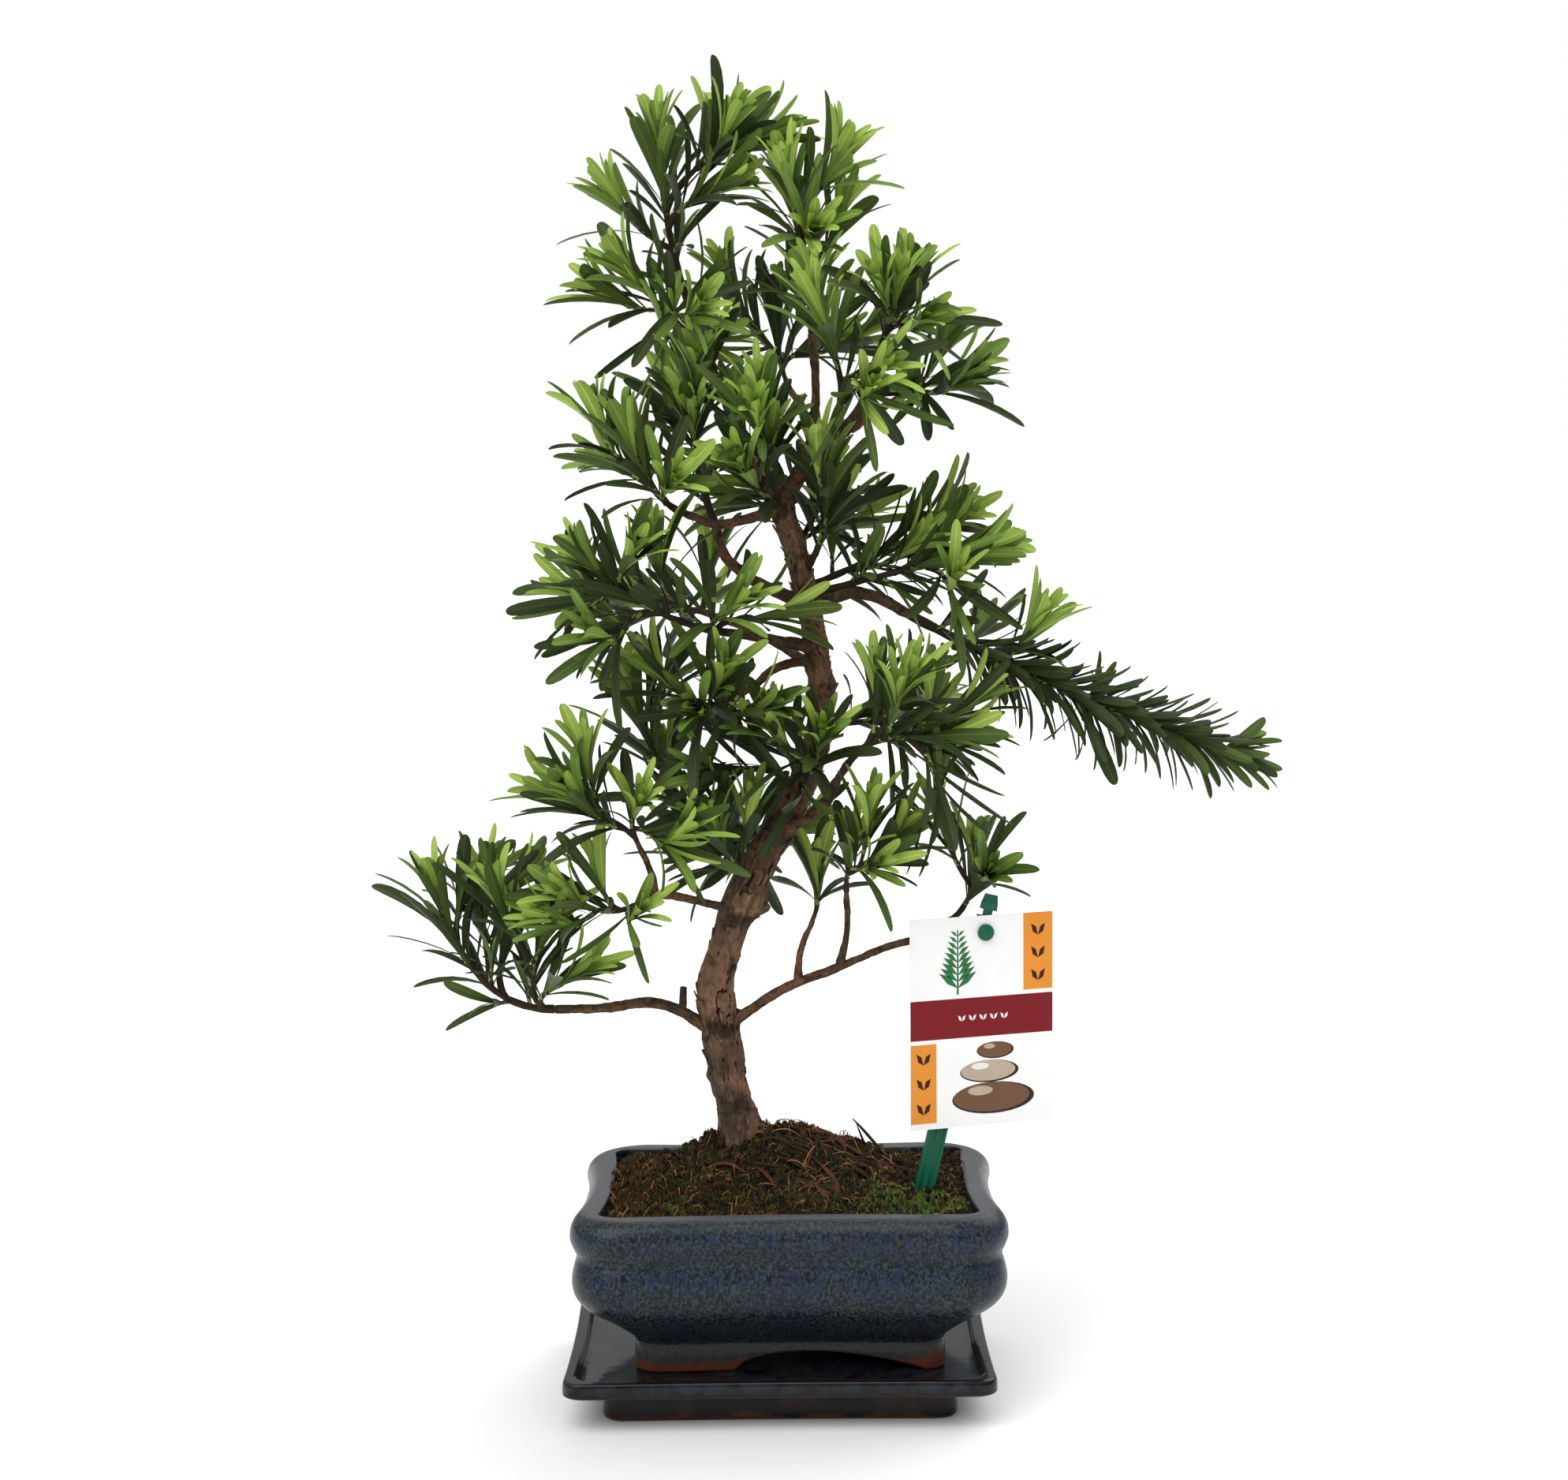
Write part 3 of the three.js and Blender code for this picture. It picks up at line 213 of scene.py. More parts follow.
# Masses: name, bough or height on the trunk, number and reach of the further shoots, how fresh its
# leaves are from 0 to 1, and where the stem and the main shoots end
MASSES = [
    ("low_left_mass", "low_left_bough", 3, 30, 0.6,
     [(-157.3, -22, 237.4), (-143.8, 5, 243.2), (-107.2, -32, 224.7), (-127.6, -2, 216.5),
      (-100, -34, 203.5)]),
    ("low_right_mass", "low_right_bough", 1, 22, 0.4, [(95.6, 15, 245.6), (98.3, 4, 244.2)]),
    ("riser_inner_mass", "riser_inner", 2, 20, 0.5, [(35.7, -18, 257.4), (40.9, -28, 255)]),
    ("riser_left_mass", "riser_left", 1, 14, 0.4, [(20.2, 8, 237.3)]),
    ("left_second_mass", "left_second_bough", 1, 18, 0.6,
     [(-87.6, -38, 240.5), (-80.5, -25, 245.7), (-68.4, -32, 232.7)]),
    ("left_second_riser_mass", "left_second_riser", 2, 24, 0.65,
     [(-64.9, -40, 282.8), (-93.8, -32, 287.5), (-51.6, -48, 271.3)]),
    ("inner_left_mass", 248, 1, 18, 0.5, [(-25.7, -25, 269.1), (-35, 8, 258)]),
    ("thin_left_mass", 254, 1, 18, 0.4, [(-65.1, 5, 328.9), (-55.7, 20, 334)]),
    ("stub_mass", 290, 0, 16, 0.4, [(-17, 2, 319), (-25, -20, 298)]),
    ("mid_left_low_mass", "mid_left_low_bough", 1, 20, 0.3,
     [(-32.4, -25, 328.6), (-12.9, -40, 330), (-26.5, -38, 342.2)]),
    ("mid_left_mass", "mid_left_bough", 3, 23, 0.55,
     [(-77.5, -38, 393.6), (-83.4, -33, 381.1), (-69.3, -28, 370.4), (-68, -46, 397.6),
      (-21.5, -42, 376.1), (-3.5, -24, 372.5)]),
    ("upper_left_mass", "upper_left_bough", 3, 24, 0.65, [(-35.4, -18, 481.5), (-38.1, 20, 471.9)]),
    ("fork_left_mass", "fork_left_bough", 2, 18, 0.55,
     [(-61.4, -36, 449.1), (-69.6, -20, 441.6), (-48, -46, 433)]),
    ("fork_front_mass", 423, 1, 16, 0.7, [(-10.2, -40, 438.2)]),
    ("fork_inner_mass", 425.5, 2, 24, 0.7, [(-4.2, -38, 468.3)]),
    ("right_inner_mass", 392, 1, 22, 0.4, [(25.8, -15, 434.1), (27.4, 8, 417)]),
    ("right_mass", 386, 1, 22, 0.7, [(73.9, 20, 413), (81.4, 10, 413.4)]),
    ("right_outer_mass", 382, 1, 22, 0.7, [(89.4, -20, 399.6), (82.1, -30, 385.6)]),
    ("long_arm_mass", "long_arm_bough", 1, 18, 0.3,
     [(213.2, -5, 307.5), (116.8, -22, 361.4), (95.8, 2, 360.7)]),
    ("right_front_mass", "right_front_bough", 3, 18, 0.6,
     [(75.8, -40, 317.3), (47.7, -38, 334.5), (73.2, -22, 324.5), (75.9, -36, 292.9)]),
    ("right_low_star_mass", 292, 2, 18, 0.5, [(21, -42, 314)]),
    ("crown_top_mass", "mid_leader", 3, 22, 0.95,
     [(9.6, 8, 568.4), (20.8, 15, 569.3), (17.9, -5, 548.1)]),
    ("crown_front_mass", "crown_front_bough", 2, 24, 0.8, [(23.9, -38, 508.6), (41.6, -40, 484.4)]),
    ("crown_right_mass", "crown_right_bough", 2, 20, 0.8, [(62.2, -2, 521.1), (65.3, -15, 506.3)]),
    ("crown_far_right_mass", "crown_far_right_bough", 2, 15, 0.5,
     [(76.1, 15, 487.4), (69.2, -8, 474.8)]),
    ("crown_top_left_mass", "left_leader", 3, 20, 0.7,
     [(-51.2, 8, 587.7), (-8.3, 18, 594.5), (-28.8, 5, 568.5)]),
    ("crown_left_mass", "crown_left_bough", 2, 16, 0.7,
     [(-61.2, 2, 527.6), (-49, 5, 501.4), (-39.4, -18, 511.9)]),
    ("back_low_mass", "back_low_bough", 3, 28, 0.6, [(48.4, 74, 318.9), (70.2, 60, 310)]),
    ("back_left_mass", "back_left_bough", 3, 18, 0.6, [(-34.5, 69, 371.5), (-56.6, 60, 374.5)]),
    ("back_crown_mass", "back_crown_bough", 3, 28, 0.6, [(2.6, 70, 508.8), (20.9, 74, 498.7)]),
    ("back_inner_mass", 262, 2, 26, 0.5, [(-14.7, 50, 254.4)]),
    ("back_upper_mass", 404, 2, 24, 0.6, [(27, 54, 432), (4, 48, 428)]),
]
ARM = "long_arm_mass"

# The rule that shoots and leaves grow by
GOLDEN_ANGLE = math.radians(137.5)
LEAF_STEP = 1.95
TIP_ANGLE = 10
BASE_ANGLE = 60
ARM_ANGLE = 50
ARM_LEAF_SIZE = 0.72
LEAF_LIFT = 0.2
TRUNK_SHOOT_RADIUS = 1.8
ARM_FRESH = -0.1
SIDE_TWIGS_FROM = 7
SIDE_TWIG_STEP = 8
SIDE_TWIG_LENGTH = 10
SIDE_LEAF_SIZE = 0.8
GAP = 0.3

# Plant label
CARD_WIDTH = 72.4
CARD_HEIGHT = 101
CARD_THICKNESS = 0.7
CARD_PIN = (99.1, -15.8, 223)
CARD_PIN_FROM_TOP = 8
CARD_PIN_FROM_MIDDLE = 1.7
CARD_LEFT = -CARD_WIDTH / 2 - CARD_PIN_FROM_MIDDLE
CARD_RIGHT = CARD_LEFT + CARD_WIDTH
CARD_TOP = CARD_PIN_FROM_TOP
CARD_BOTTOM = CARD_TOP - CARD_HEIGHT
STICK_WIDTH = 9.5
STICK_THICKNESS = 2.4
STICK_LEAN = 14
STICK_TOP = 7.6
STICK_FOOT = -166.8
BUTTON_RADIUS = 4
LABEL_TURN = 18
PIN_HOLE = 1.9

# The card's print, in places from its pin, with the middle, half size and finish of each pebble
BAR_WIDTH = 15
LOW_BAR_WIDTH = 13
TOP_BAR_FOOT = -29
BAND_LEVELS = (-50, -31)
LOW_BAR_LEVELS = (-90, -52)
SPRIG_ACROSS = -14
PEBBLES = [((4, -80), (21, 8.5), 3), ((2, -67), (15, 6), 5), ((5, -57), (9.5, 4.5), 3)]
PALE_INK = (0.5, 0.4, 0.3)
BROWN_INK = (0.05, 0.014, 0.008)
WHITE_INK = (0.85, 0.82, 0.8)
DARK_INK = (0.035, 0.02, 0.014)

# Stage: the floor's half size, the suns' places and the width of their discs in degrees
FLOOR_HALF_SIZE = 30000
MAIN_SUN = (-0.5, -0.75, 1.0)
BACK_SUN = (0.6, 0.7, 1.2)
SUN_WIDTH = 50

# Camera: its place in metres, and its tilt and roll in degrees
CAMERA_PLACE = (0.0048, -1.414, 0.4747)
CAMERA_DOWN = 6.5
CAMERA_ROLL = -0.55


# Vectors and noise

def unit(vectors):
    return vectors / np.linalg.norm(vectors, axis=-1, keepdims=True)


def mix(start, end, share):
    return start + (end - start) * share


def noise(a, b, c):
    """A number between 0 and 1 that always comes out the same for the same three keys."""
    wave = math.sin(a * 12.9898 + b * 78.233 + c * 37.719) * 43758.5453
    return wave - math.floor(wave)


def lattice(points):
    """The same kind of number for many points at once."""
    wave = np.sin(points @ np.array([12.9898, 78.233, 37.719])) * 43758.5453
    return wave - np.floor(wave)


def soft_noise(points):
    """Smooth noise between -1 and 1 in three dimensions."""
    base = np.floor(points)
    part = points - base
    part = part * part * (3 - 2 * part)
    total = 0
    for corner in itertools.product((0, 1), repeat=3):
        weight = np.prod(np.where(np.array(corner) == 1, part, 1 - part), axis=-1)
        total = total + weight * lattice(base + corner)
    return 2 * total - 1


def layered_noise(points, layers):
    return sum(soft_noise(points * 2.0 ** i + 7.3 * i) / 2 ** i for i in range(layers))


def grain(points, wide, tall, layers, shift=0):
    """Noise with the grain of wood: lumps as wide and as tall as is said."""
    return layered_noise(points / np.array([wide, wide, tall]) + shift, layers)


def step(value, edge, width):
    """0 below an edge and 1 above it, with a soft change between."""
    share = np.clip((value - edge) / width + 0.5, 0, 1)
    return share * share * (3 - 2 * share)


# Curves

class Course:
    """A curve whose places are given by the share of its length."""

    def __init__(self, point_at):
        self.point_at = point_at
        self.turns = np.linspace(0, 1, 201)
        points = point_at(self.turns)
        steps = np.linalg.norm(np.diff(points, axis=0), axis=1)
        lengths = np.concatenate([[0], np.cumsum(steps)])
        self.length = lengths[-1]
        self.shares = lengths / self.length

    def at(self, share):
        turns = np.interp(share, self.shares, self.turns)
        return self.point_at(np.atleast_1d(turns)).reshape(np.shape(share) + (3,))

    def along(self, share):
        turns = np.atleast_1d(np.interp(share, self.shares, self.turns))
        ahead = self.point_at(np.clip(turns + 1e-4, 0, 1))
        behind = self.point_at(np.clip(turns - 1e-4, 0, 1))
        return unit(ahead - behind).reshape(np.shape(share) + (3,))

    def nearest(self, point):
        """The share at which the curve comes nearest to a point, in fortieths."""
        shares = np.arange(41) / 40
        return shares[np.argmin(np.linalg.norm(self.at(shares) - point, axis=1))]


def smooth_course(points):
    """A curve through all the points."""
    points = np.array(points, dtype=float)
    ends = np.vstack([2 * points[0] - points[1], points, 2 * points[-1] - points[-2]])

    def point_at(turns):
        place = turns * (len(points) - 1)
        piece = np.minimum(place.astype(int), len(points) - 2)
        part = (place - piece)[:, None]
        a, b, c, d = (ends[piece + i] for i in range(4))
        before = np.sqrt(np.linalg.norm(b - a, axis=1))[:, None]
        here = np.sqrt(np.linalg.norm(c - b, axis=1))[:, None]
        after = np.sqrt(np.linalg.norm(d - c, axis=1))[:, None]
        leave = ((b - a) / before - (c - a) / (before + here) + (c - b) / here) * here
        arrive = ((c - b) / here - (d - b) / (here + after) + (d - c) / after) * here
        bend = -3 * b + 3 * c - 2 * leave - arrive
        settle = 2 * b - 2 * c + leave + arrive
        return b + leave * part + bend * part ** 2 + settle * part ** 3

    return Course(point_at)


def sweep(start, heading, end):
    """A curve that sets out along a heading and bends round to its end."""
    control = start + heading * np.linalg.norm(end - start) * 0.5

    def point_at(turns):
        t = turns[:, None]
        return (1 - t) ** 2 * start + 2 * t * (1 - t) * control + t ** 2 * end

    return Course(point_at)


def frames_along(tangents):
    """Two directions square to each tangent, turned as little as possible from one to the next."""
    first = np.zeros(3)
    first[2 - np.argmin(np.abs(tangents[0])[::-1])] = 1
    normal = np.cross(tangents[0], unit(np.cross(tangents[0], first)))
    normals = [normal]
    for before, tangent in zip(tangents[:-1], tangents[1:]):
        axis = np.cross(before, tangent)
        size = np.linalg.norm(axis)
        if size > 1e-9:
            axis = axis / size
            angle = math.acos(np.clip(before @ tangent, -1, 1))
            normal = (normal * math.cos(angle) + np.cross(axis, normal) * math.sin(angle)
                      + axis * (axis @ normal) * (1 - math.cos(angle)))
        normals.append(normal)
    normals = np.array(normals)
    return normals, np.cross(tangents, normals)


# Meshes

class Heap:
    """Points and faces gathered for one joined mesh."""

    def __init__(self):
        self.points = []
        self.faces = []
        self.finishes = []
        self.marks = []
        self.count = 0

    def add(self, points, faces, finish=0, mark=0.0):
        points = np.asarray(points, dtype=float).reshape(-1, 3)
        faces = np.asarray(faces)
        self.points.append(points)
        self.faces.extend((faces + self.count).tolist())
        self.finishes.append(np.broadcast_to(finish, len(faces)))
        self.marks.append(np.broadcast_to(mark, len(points)))
        self.count += len(points)


def grid_faces(rows, columns, closed):
    """The four-sided faces of rows of points, with each row closed into a ring or open."""
    across = columns if closed else columns - 1
    row, column = np.meshgrid(np.arange(rows - 1), np.arange(across), indexing="ij")
    after = (column + 1) % columns
    start = row * columns
    corners = [start + column, start + after, start + columns + after, start + columns + column]
    return np.stack(corners, -1).reshape(-1, 4)


def fan_faces(corners):
    """Triangles from each side of a ring to the point that follows it."""
    ring = np.arange(corners)
    return np.stack([ring, (ring + 1) % corners, np.full(corners, corners)], -1)


def add_tube(heap, course, radius_at, sides, rows, start=0.0, mark_at=None):
    """A limb with a blunt tip, its radius and the marks of its bark read at share and angle."""
    shares = np.linspace(start, 1, rows + 1)
    angles = 2 * math.pi * np.arange(sides) / sides
    across, down = angles[None, :], shares[:, None]
    normals, binormals = frames_along(course.along(shares))
    radius = np.broadcast_to(radius_at(down, across), (rows + 1, sides))[..., None]
    outward = (binormals[:, None] * np.cos(angles)[None, :, None]
               + normals[:, None] * np.sin(angles)[None, :, None])
    points = course.at(shares)[:, None] + outward * radius
    mark = mark_at(down, across).reshape(-1) if mark_at is not None else 0.0
    heap.add(points, grid_faces(rows + 1, sides, True), mark=mark)
    tip = points[-1]
    centre = tip.mean(0) + course.along(1.0) * radius[-1].mean() * 0.4
    heap.add(np.vstack([tip, centre]), fan_faces(sides), mark=0.5)


def add_piece(name, heap, materials, replaced=(), smooth=True):
    """One object that rides on the root, from what a heap has gathered."""
    mesh = bpy.data.meshes.new(name)
    mesh.from_pydata((np.vstack(heap.points) * MM).tolist(), [], heap.faces)
    mesh.polygons.foreach_set("material_index", np.concatenate(heap.finishes).astype(np.int32))
    mark = mesh.attributes.new("relief", "FLOAT", "POINT")
    mark.data.foreach_set("value", np.concatenate(heap.marks).astype(np.float32))
    for material in materials:
        mesh.materials.append(material)
    if smooth:
        mesh.shade_smooth()
    mesh.update()
    piece = bpy.data.objects.new(name, mesh)
    bpy.context.scene.collection.objects.link(piece)
    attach(piece, "root")
    if replaced:
        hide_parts(*replaced)
    return piece


# Materials

class Paint:
    """One material and the nodes that its colour, gloss and fine relief are mixed with."""

    def __init__(self, name, roughness=0.5, **sockets):
        self.material = bpy.data.materials.new(name)
        self.material.use_nodes = True
        self.tree = self.material.node_tree
        self.shader = self.tree.nodes["Principled BSDF"]
        self.shader.inputs["Roughness"].default_value = roughness
        for socket, value in sockets.items():
            self.shader.inputs[socket.replace("_", " ")].default_value = value
        self.place = self.tree.nodes.new("ShaderNodeTexCoord").outputs["Object"]

    def node(self, kind, inputs=(), **settings):
        node = self.tree.nodes.new(kind)
        for key, value in settings.items():
            setattr(node, key, value)
        for key, value in dict(inputs).items():
            if isinstance(value, bpy.types.NodeSocket):
                self.tree.links.new(value, node.inputs[key])
            else:
                node.inputs[key].default_value = value
        return node

    def stretched(self, scale):
        return self.node("ShaderNodeMapping", {"Vector": self.place, "Scale": scale}).outputs[0]

    def noise(self, scale, detail=4.0, rough=0.55, place=None):
        inputs = {"Vector": place or self.place, "Scale": scale,
                  "Detail": detail, "Roughness": rough}
        return self.node("ShaderNodeTexNoise", inputs).outputs[0]

    def height(self):
        return self.node("ShaderNodeSeparateXYZ", {0: self.place}).outputs[2]

    def relief(self):
        return self.node("ShaderNodeAttribute", attribute_name="relief").outputs["Fac"]

    def maths(self, operation, a, b):
        return self.node("ShaderNodeMath", {0: a, 1: b}, operation=operation).outputs[0]

    def span(self, value, low, high, to_low=0.0, to_high=1.0):
        """A value brought from one range to another, and kept within it."""
        inputs = {"Value": value, "From Min": low, "From Max": high,
                  "To Min": to_low, "To Max": to_high}
        return self.node("ShaderNodeMapRange", inputs).outputs[0]

    def between(self, value, rise, fall):
        """1 between two soft changes, and 0 outside them."""
        return self.maths("MULTIPLY", self.span(value, *rise), self.span(value, *fall))

    def ramp(self, value, stops):
        node = self.node("ShaderNodeValToRGB", {"Fac": value})
        elements = node.color_ramp.elements
        while len(elements) < len(stops):
            elements.new(0.5)
        for element, (place, colour) in zip(elements, stops):
            element.position = place
            element.color = (*colour[:3], 1)
        return node.outputs[0]

    def blend(self, factor, a, b, mode="MIX"):
        node = self.node("ShaderNodeMix", data_type="RGBA", blend_type=mode)
        colours = [socket for socket in node.inputs if socket.type == "RGBA"]
        for socket, value in ((node.inputs[0], factor), (colours[0], a), (colours[1], b)):
            if isinstance(value, bpy.types.NodeSocket):
                self.tree.links.new(value, socket)
            elif socket.type == "RGBA":
                socket.default_value = (*value[:3], 1)
            else:
                socket.default_value = value
        return next(socket for socket in node.outputs if socket.type == "RGBA")

    def colour(self, value):
        self.tree.links.new(value, self.shader.inputs["Base Color"])
        return self

    def rough(self, value):
        self.tree.links.new(value, self.shader.inputs["Roughness"])
        return self

    def bump(self, height, strength=0.3, distance=0.0005):
        inputs = {"Height": height, "Strength": strength, "Distance": distance}
        normal = self.node("ShaderNodeBump", inputs).outputs[0]
        self.tree.links.new(normal, self.shader.inputs["Normal"])
        return self


def mottled(name, tone, darker, cloud, roughness=0.7, specular=0.2, lighter=1):
    """Paint whose colour wanders between two shades of one tone."""
    paint = Paint(name, roughness, Specular_IOR_Level=specular)
    tone = np.array(tone)
    paint.colour(paint.blend(paint.noise(*cloud), tone * lighter, tone * darker))
    return paint


def leaf_finish(name, colour, dark):
    """A waxy leaf: its colour clouded along the blade, with a fine grain."""
    paint = Paint(name, 0.5, Specular_IOR_Level=0.14)
    cloud = paint.noise(45, 3)
    shade = paint.blend(paint.span(cloud, 0.35, 0.7), colour, dark)
    paint.colour(shade).rough(paint.span(paint.noise(220, 2), 0.3, 0.7, 0.4, 0.58))
    paint.bump(paint.noise(900, 3), 0.15, 0.0002)
    return paint.material


def bark_finish(name, colours, fine):
    """Bark: weathered flakes over fresher wood, with dark blotches and cracks."""
    dark, weathered, fresh, warm = (np.array(tone) for tone in colours)
    paint = Paint(name, 0.85, Specular_IOR_Level=0.2)
    relief = paint.relief()
    cloud = paint.noise(48 * fine, 5, 0.6, paint.stretched((1, 1, 0.5)))
    under = paint.ramp(cloud, [(0.35, warm), (0.6, fresh)])
    over = paint.ramp(cloud, [(0.36, weathered), (0.5, mix(weathered, fresh, 0.55)),
                              (0.66, mix(weathered, dark, 0.5))])
    wood = paint.blend(paint.span(relief, 0.42, 0.62), under, over)
    blotch = paint.noise(85 * fine, 6, 0.65)
    wood = paint.blend(paint.span(blotch, 0.5, 0.62, 0, 0.8), wood, dark)
    lichen = paint.noise(22 * fine, 5, 0.6, paint.stretched((1, 1, 0.6)))
    wood = paint.blend(paint.span(lichen, 0.5, 0.6, 0, 0.62), wood, LICHEN)
    speck = paint.noise(500, 6, 0.7, paint.stretched((1, 1, 0.3)))
    wood = paint.blend(paint.span(speck, 0.45, 0.65, 0, 0.5), wood, dark)
    wood = paint.blend(paint.span(relief, 0.17, 0.42), dark, wood)
    paint.colour(wood).rough(paint.span(cloud, 0.3, 0.7, 0.72, 0.95))
    paint.bump(speck, 0.5, 0.0006)
    return paint.material


# The limbs, laid out as the solids are

def swelling(height, middle, size, spread):
    return size * np.exp(-(((height - middle) / spread) ** 2))


def trunk_radius(place, angle):
    foot, fork = TRUNK_BENDS[0][2], TRUNK_BENDS[-1][2]
    height = np.maximum(place, foot)
    taper = mix(TRUNK_FOOT_RADIUS, TRUNK_FORK_RADIUS, (height - foot) / (fork - foot))
    flare = FLARE * np.exp(-(height - foot) / FLARE_HEIGHT)
    knots = (swelling(height, 188, 0.9, 14) + swelling(height, 242, 1.2, 11)
             + swelling(height, fork, 0.8, 9))
    roots = 1 + 0.14 * np.cos(3 * angle + 1) * np.exp(-(height - foot) / 14)
    fluting = 1 + 0.04 * np.cos(4 * angle + height * 0.03)
    return (taper + flare + knots) * roots * fluting


def trunk_course():
    bends = np.array(TRUNK_BENDS, dtype=float)
    below = bends[0] - 0.25 * (bends[1] - bends[0])
    return smooth_course(np.vstack([below, bends]))


def trunk_share(trunk, height):
    shares = np.linspace(0, 1, 4001)
    return np.interp(height, trunk.at(shares)[:, 2], shares)


def bough_courses(trunk):
    courses = {}
    for name, place, _radii, path in BOUGHS:
        if isinstance(place, tuple):
            root = courses[place[0]].at(place[1])
        else:
            root = trunk.at(trunk_share(trunk, place))
        courses[name] = smooth_course([root, *path])
    return courses


def bough_radius(radii, share):
    return mix(radii[0], radii[1], share) + radii[0] * 0.35 * np.exp(-share * 14)


def unrolled(shares, angles, radius, reach, start=0):
    """Places on an even limb, where the noise of the bark is read."""
    shares, angles = np.broadcast_arrays(shares, angles)
    return np.stack([radius * np.cos(angles), radius * np.sin(angles), shares * reach + start], -1)


# The growth of the masses, by the rule of the solids

def crossways(axis):
    other = UP if abs(axis[2]) < 0.9 else np.array([1.0, 0, 0])
    side = unit(np.cross(axis, other))
    return side, np.cross(side, axis)


def around(axis, angle):
    side, up = crossways(axis)
    return side * math.cos(angle) + up * math.sin(angle)


def shoots_of(mass, seed, trunk, courses):
    """The stem, the main shoots that leave it on the way to their ends, and the seeded ones."""
    name, place, more, reach, _fresh, ends = mass
    ends = [np.array(end, dtype=float) for end in ends]
    if isinstance(place, str):
        course = courses[place]
        heading = course.along(1.0)
        root = course.at(1.0) + heading * GAP
        girth = 0.95 * next(radii[1] for bough, _place, radii, _path in BOUGHS if bough == place)
    else:
        root = trunk.at(trunk_share(trunk, place))
        heading = unit(ends[0] - root)
        heading = unit(np.array([heading[0], heading[1], 0.3]))
        girth = TRUNK_SHOOT_RADIUS
    stem = sweep(root, heading, ends[0])
    leafy = stem.length * 0.86 if name == ARM else min(stem.length * 0.7, 38)
    shoots = [{"number": 0, "course": stem, "radius": girth, "leafy": leafy}]
    for i, end in enumerate(ends[1:]):
        nearest = stem.nearest(end)
        away = np.linalg.norm(stem.at(nearest) - end)
        share = np.clip(nearest - 0.6 * away / stem.length, 0.06, 0.9)
        start = stem.at(share)
        heading = unit(stem.along(share) + unit(end - start))
        course = sweep(start, heading, end)
        bare = max(course.length * 0.25, course.length - 34)
        shoots.append({"number": i + 1, "course": course, "radius": girth * 0.9,
                       "leafy": course.length - bare})
    for i in range(more):
        parent = shoots[i % len(ends)]["course"]
        share = mix(0.3, 0.8, (i + noise(seed, i, 1)) / more)
        axis = parent.along(share)
        outward = around(axis, i * GOLDEN_ANGLE + 6.28 * noise(seed, i, 2))
        heading = unit(axis * 0.6 + outward * 0.8)
        length = reach * mix(0.8, 1.2, noise(seed, i, 3))
        start = parent.at(share)
        end = start + heading * length + UP * length * 0.25
        shoots.append({"number": len(ends) + i, "course": sweep(start, heading, end),
                       "radius": girth * 0.8, "leafy": length * 0.8})
    return shoots


def leaves_of(shoot, arm, seed, leaf_length):
    """The leaves of one shoot, counted back from its tip."""
    course, number = shoot["course"], shoot["number"]
    count = round(shoot["leafy"] / LEAF_STEP)
    leaves = []
    for i in range(count):
        back = i / count
        share = 1 - (2.5 + (shoot["leafy"] - 3) * back) / course.length
        axis = course.along(share)
        outward = around(axis, i * GOLDEN_ANGLE + 6.28 * noise(seed, number, 4))
        wander = noise(seed + number * 0.37, i, 5) - 0.5
        if arm:
            opening = mix(TIP_ANGLE, ARM_ANGLE, min(back * 5, 1))
        else:
            opening = mix(TIP_ANGLE, BASE_ANGLE, back)
        angle = math.radians(opening + 16 * wander)
        direction = axis * math.cos(angle) + outward * math.sin(angle)
        direction = unit(direction + UP * (0 if arm else LEAF_LIFT))
        size = ARM_LEAF_SIZE if arm else 0.72 + 0.34 * math.sin(math.pi * back)
        length = leaf_length * size * (1 + 0.3 * (noise(seed + number * 0.61, i, 6) - 0.5))
        leaves.append({
            "root": course.at(share) - direction * 0.4,
            "direction": direction,
            "across": unit(np.cross(direction, outward)),
            "length": length,
            "bow": 0.05 + 0.06 * wander,
            "back": back,
            "fresh": shoot["fresh"],
            "keys": (seed, number, i),
        })
    return leaves


def tip_leaves_of(shoot, seed, leaf_length, count):
    """The young leaves that stand close together at the tip of a shoot."""
    course, number = shoot["course"], shoot["number"]
    ahead = course.along(1.0)
    axis = unit(ahead + UP * (0.4 + 1.2 * max(0, -ahead[2])))
    leaves = []
    for i in range(count):
        outward = around(axis, i * GOLDEN_ANGLE + 6.28 * noise(seed, number, 7))
        wander = noise(seed, number, i + 8) - 0.5
        opening = math.radians(5 + 22 * (i + 0.5) / count + 8 * wander)
        direction = axis * math.cos(opening) + outward * math.sin(opening)
        leaves.append({
            "root": course.at(1.0) - axis * (1 + 2.5 * i / count),
            "direction": direction,
            "across": unit(np.cross(direction, outward)),
            "length": leaf_length * mix(0.6, 0.98, (i + noise(seed, number, i + 30)) / count),
            "bow": 0.06,
            "back": -0.2,
            "fresh": shoot["fresh"],
            "keys": (seed, number, i + 200),
        })
    return leaves


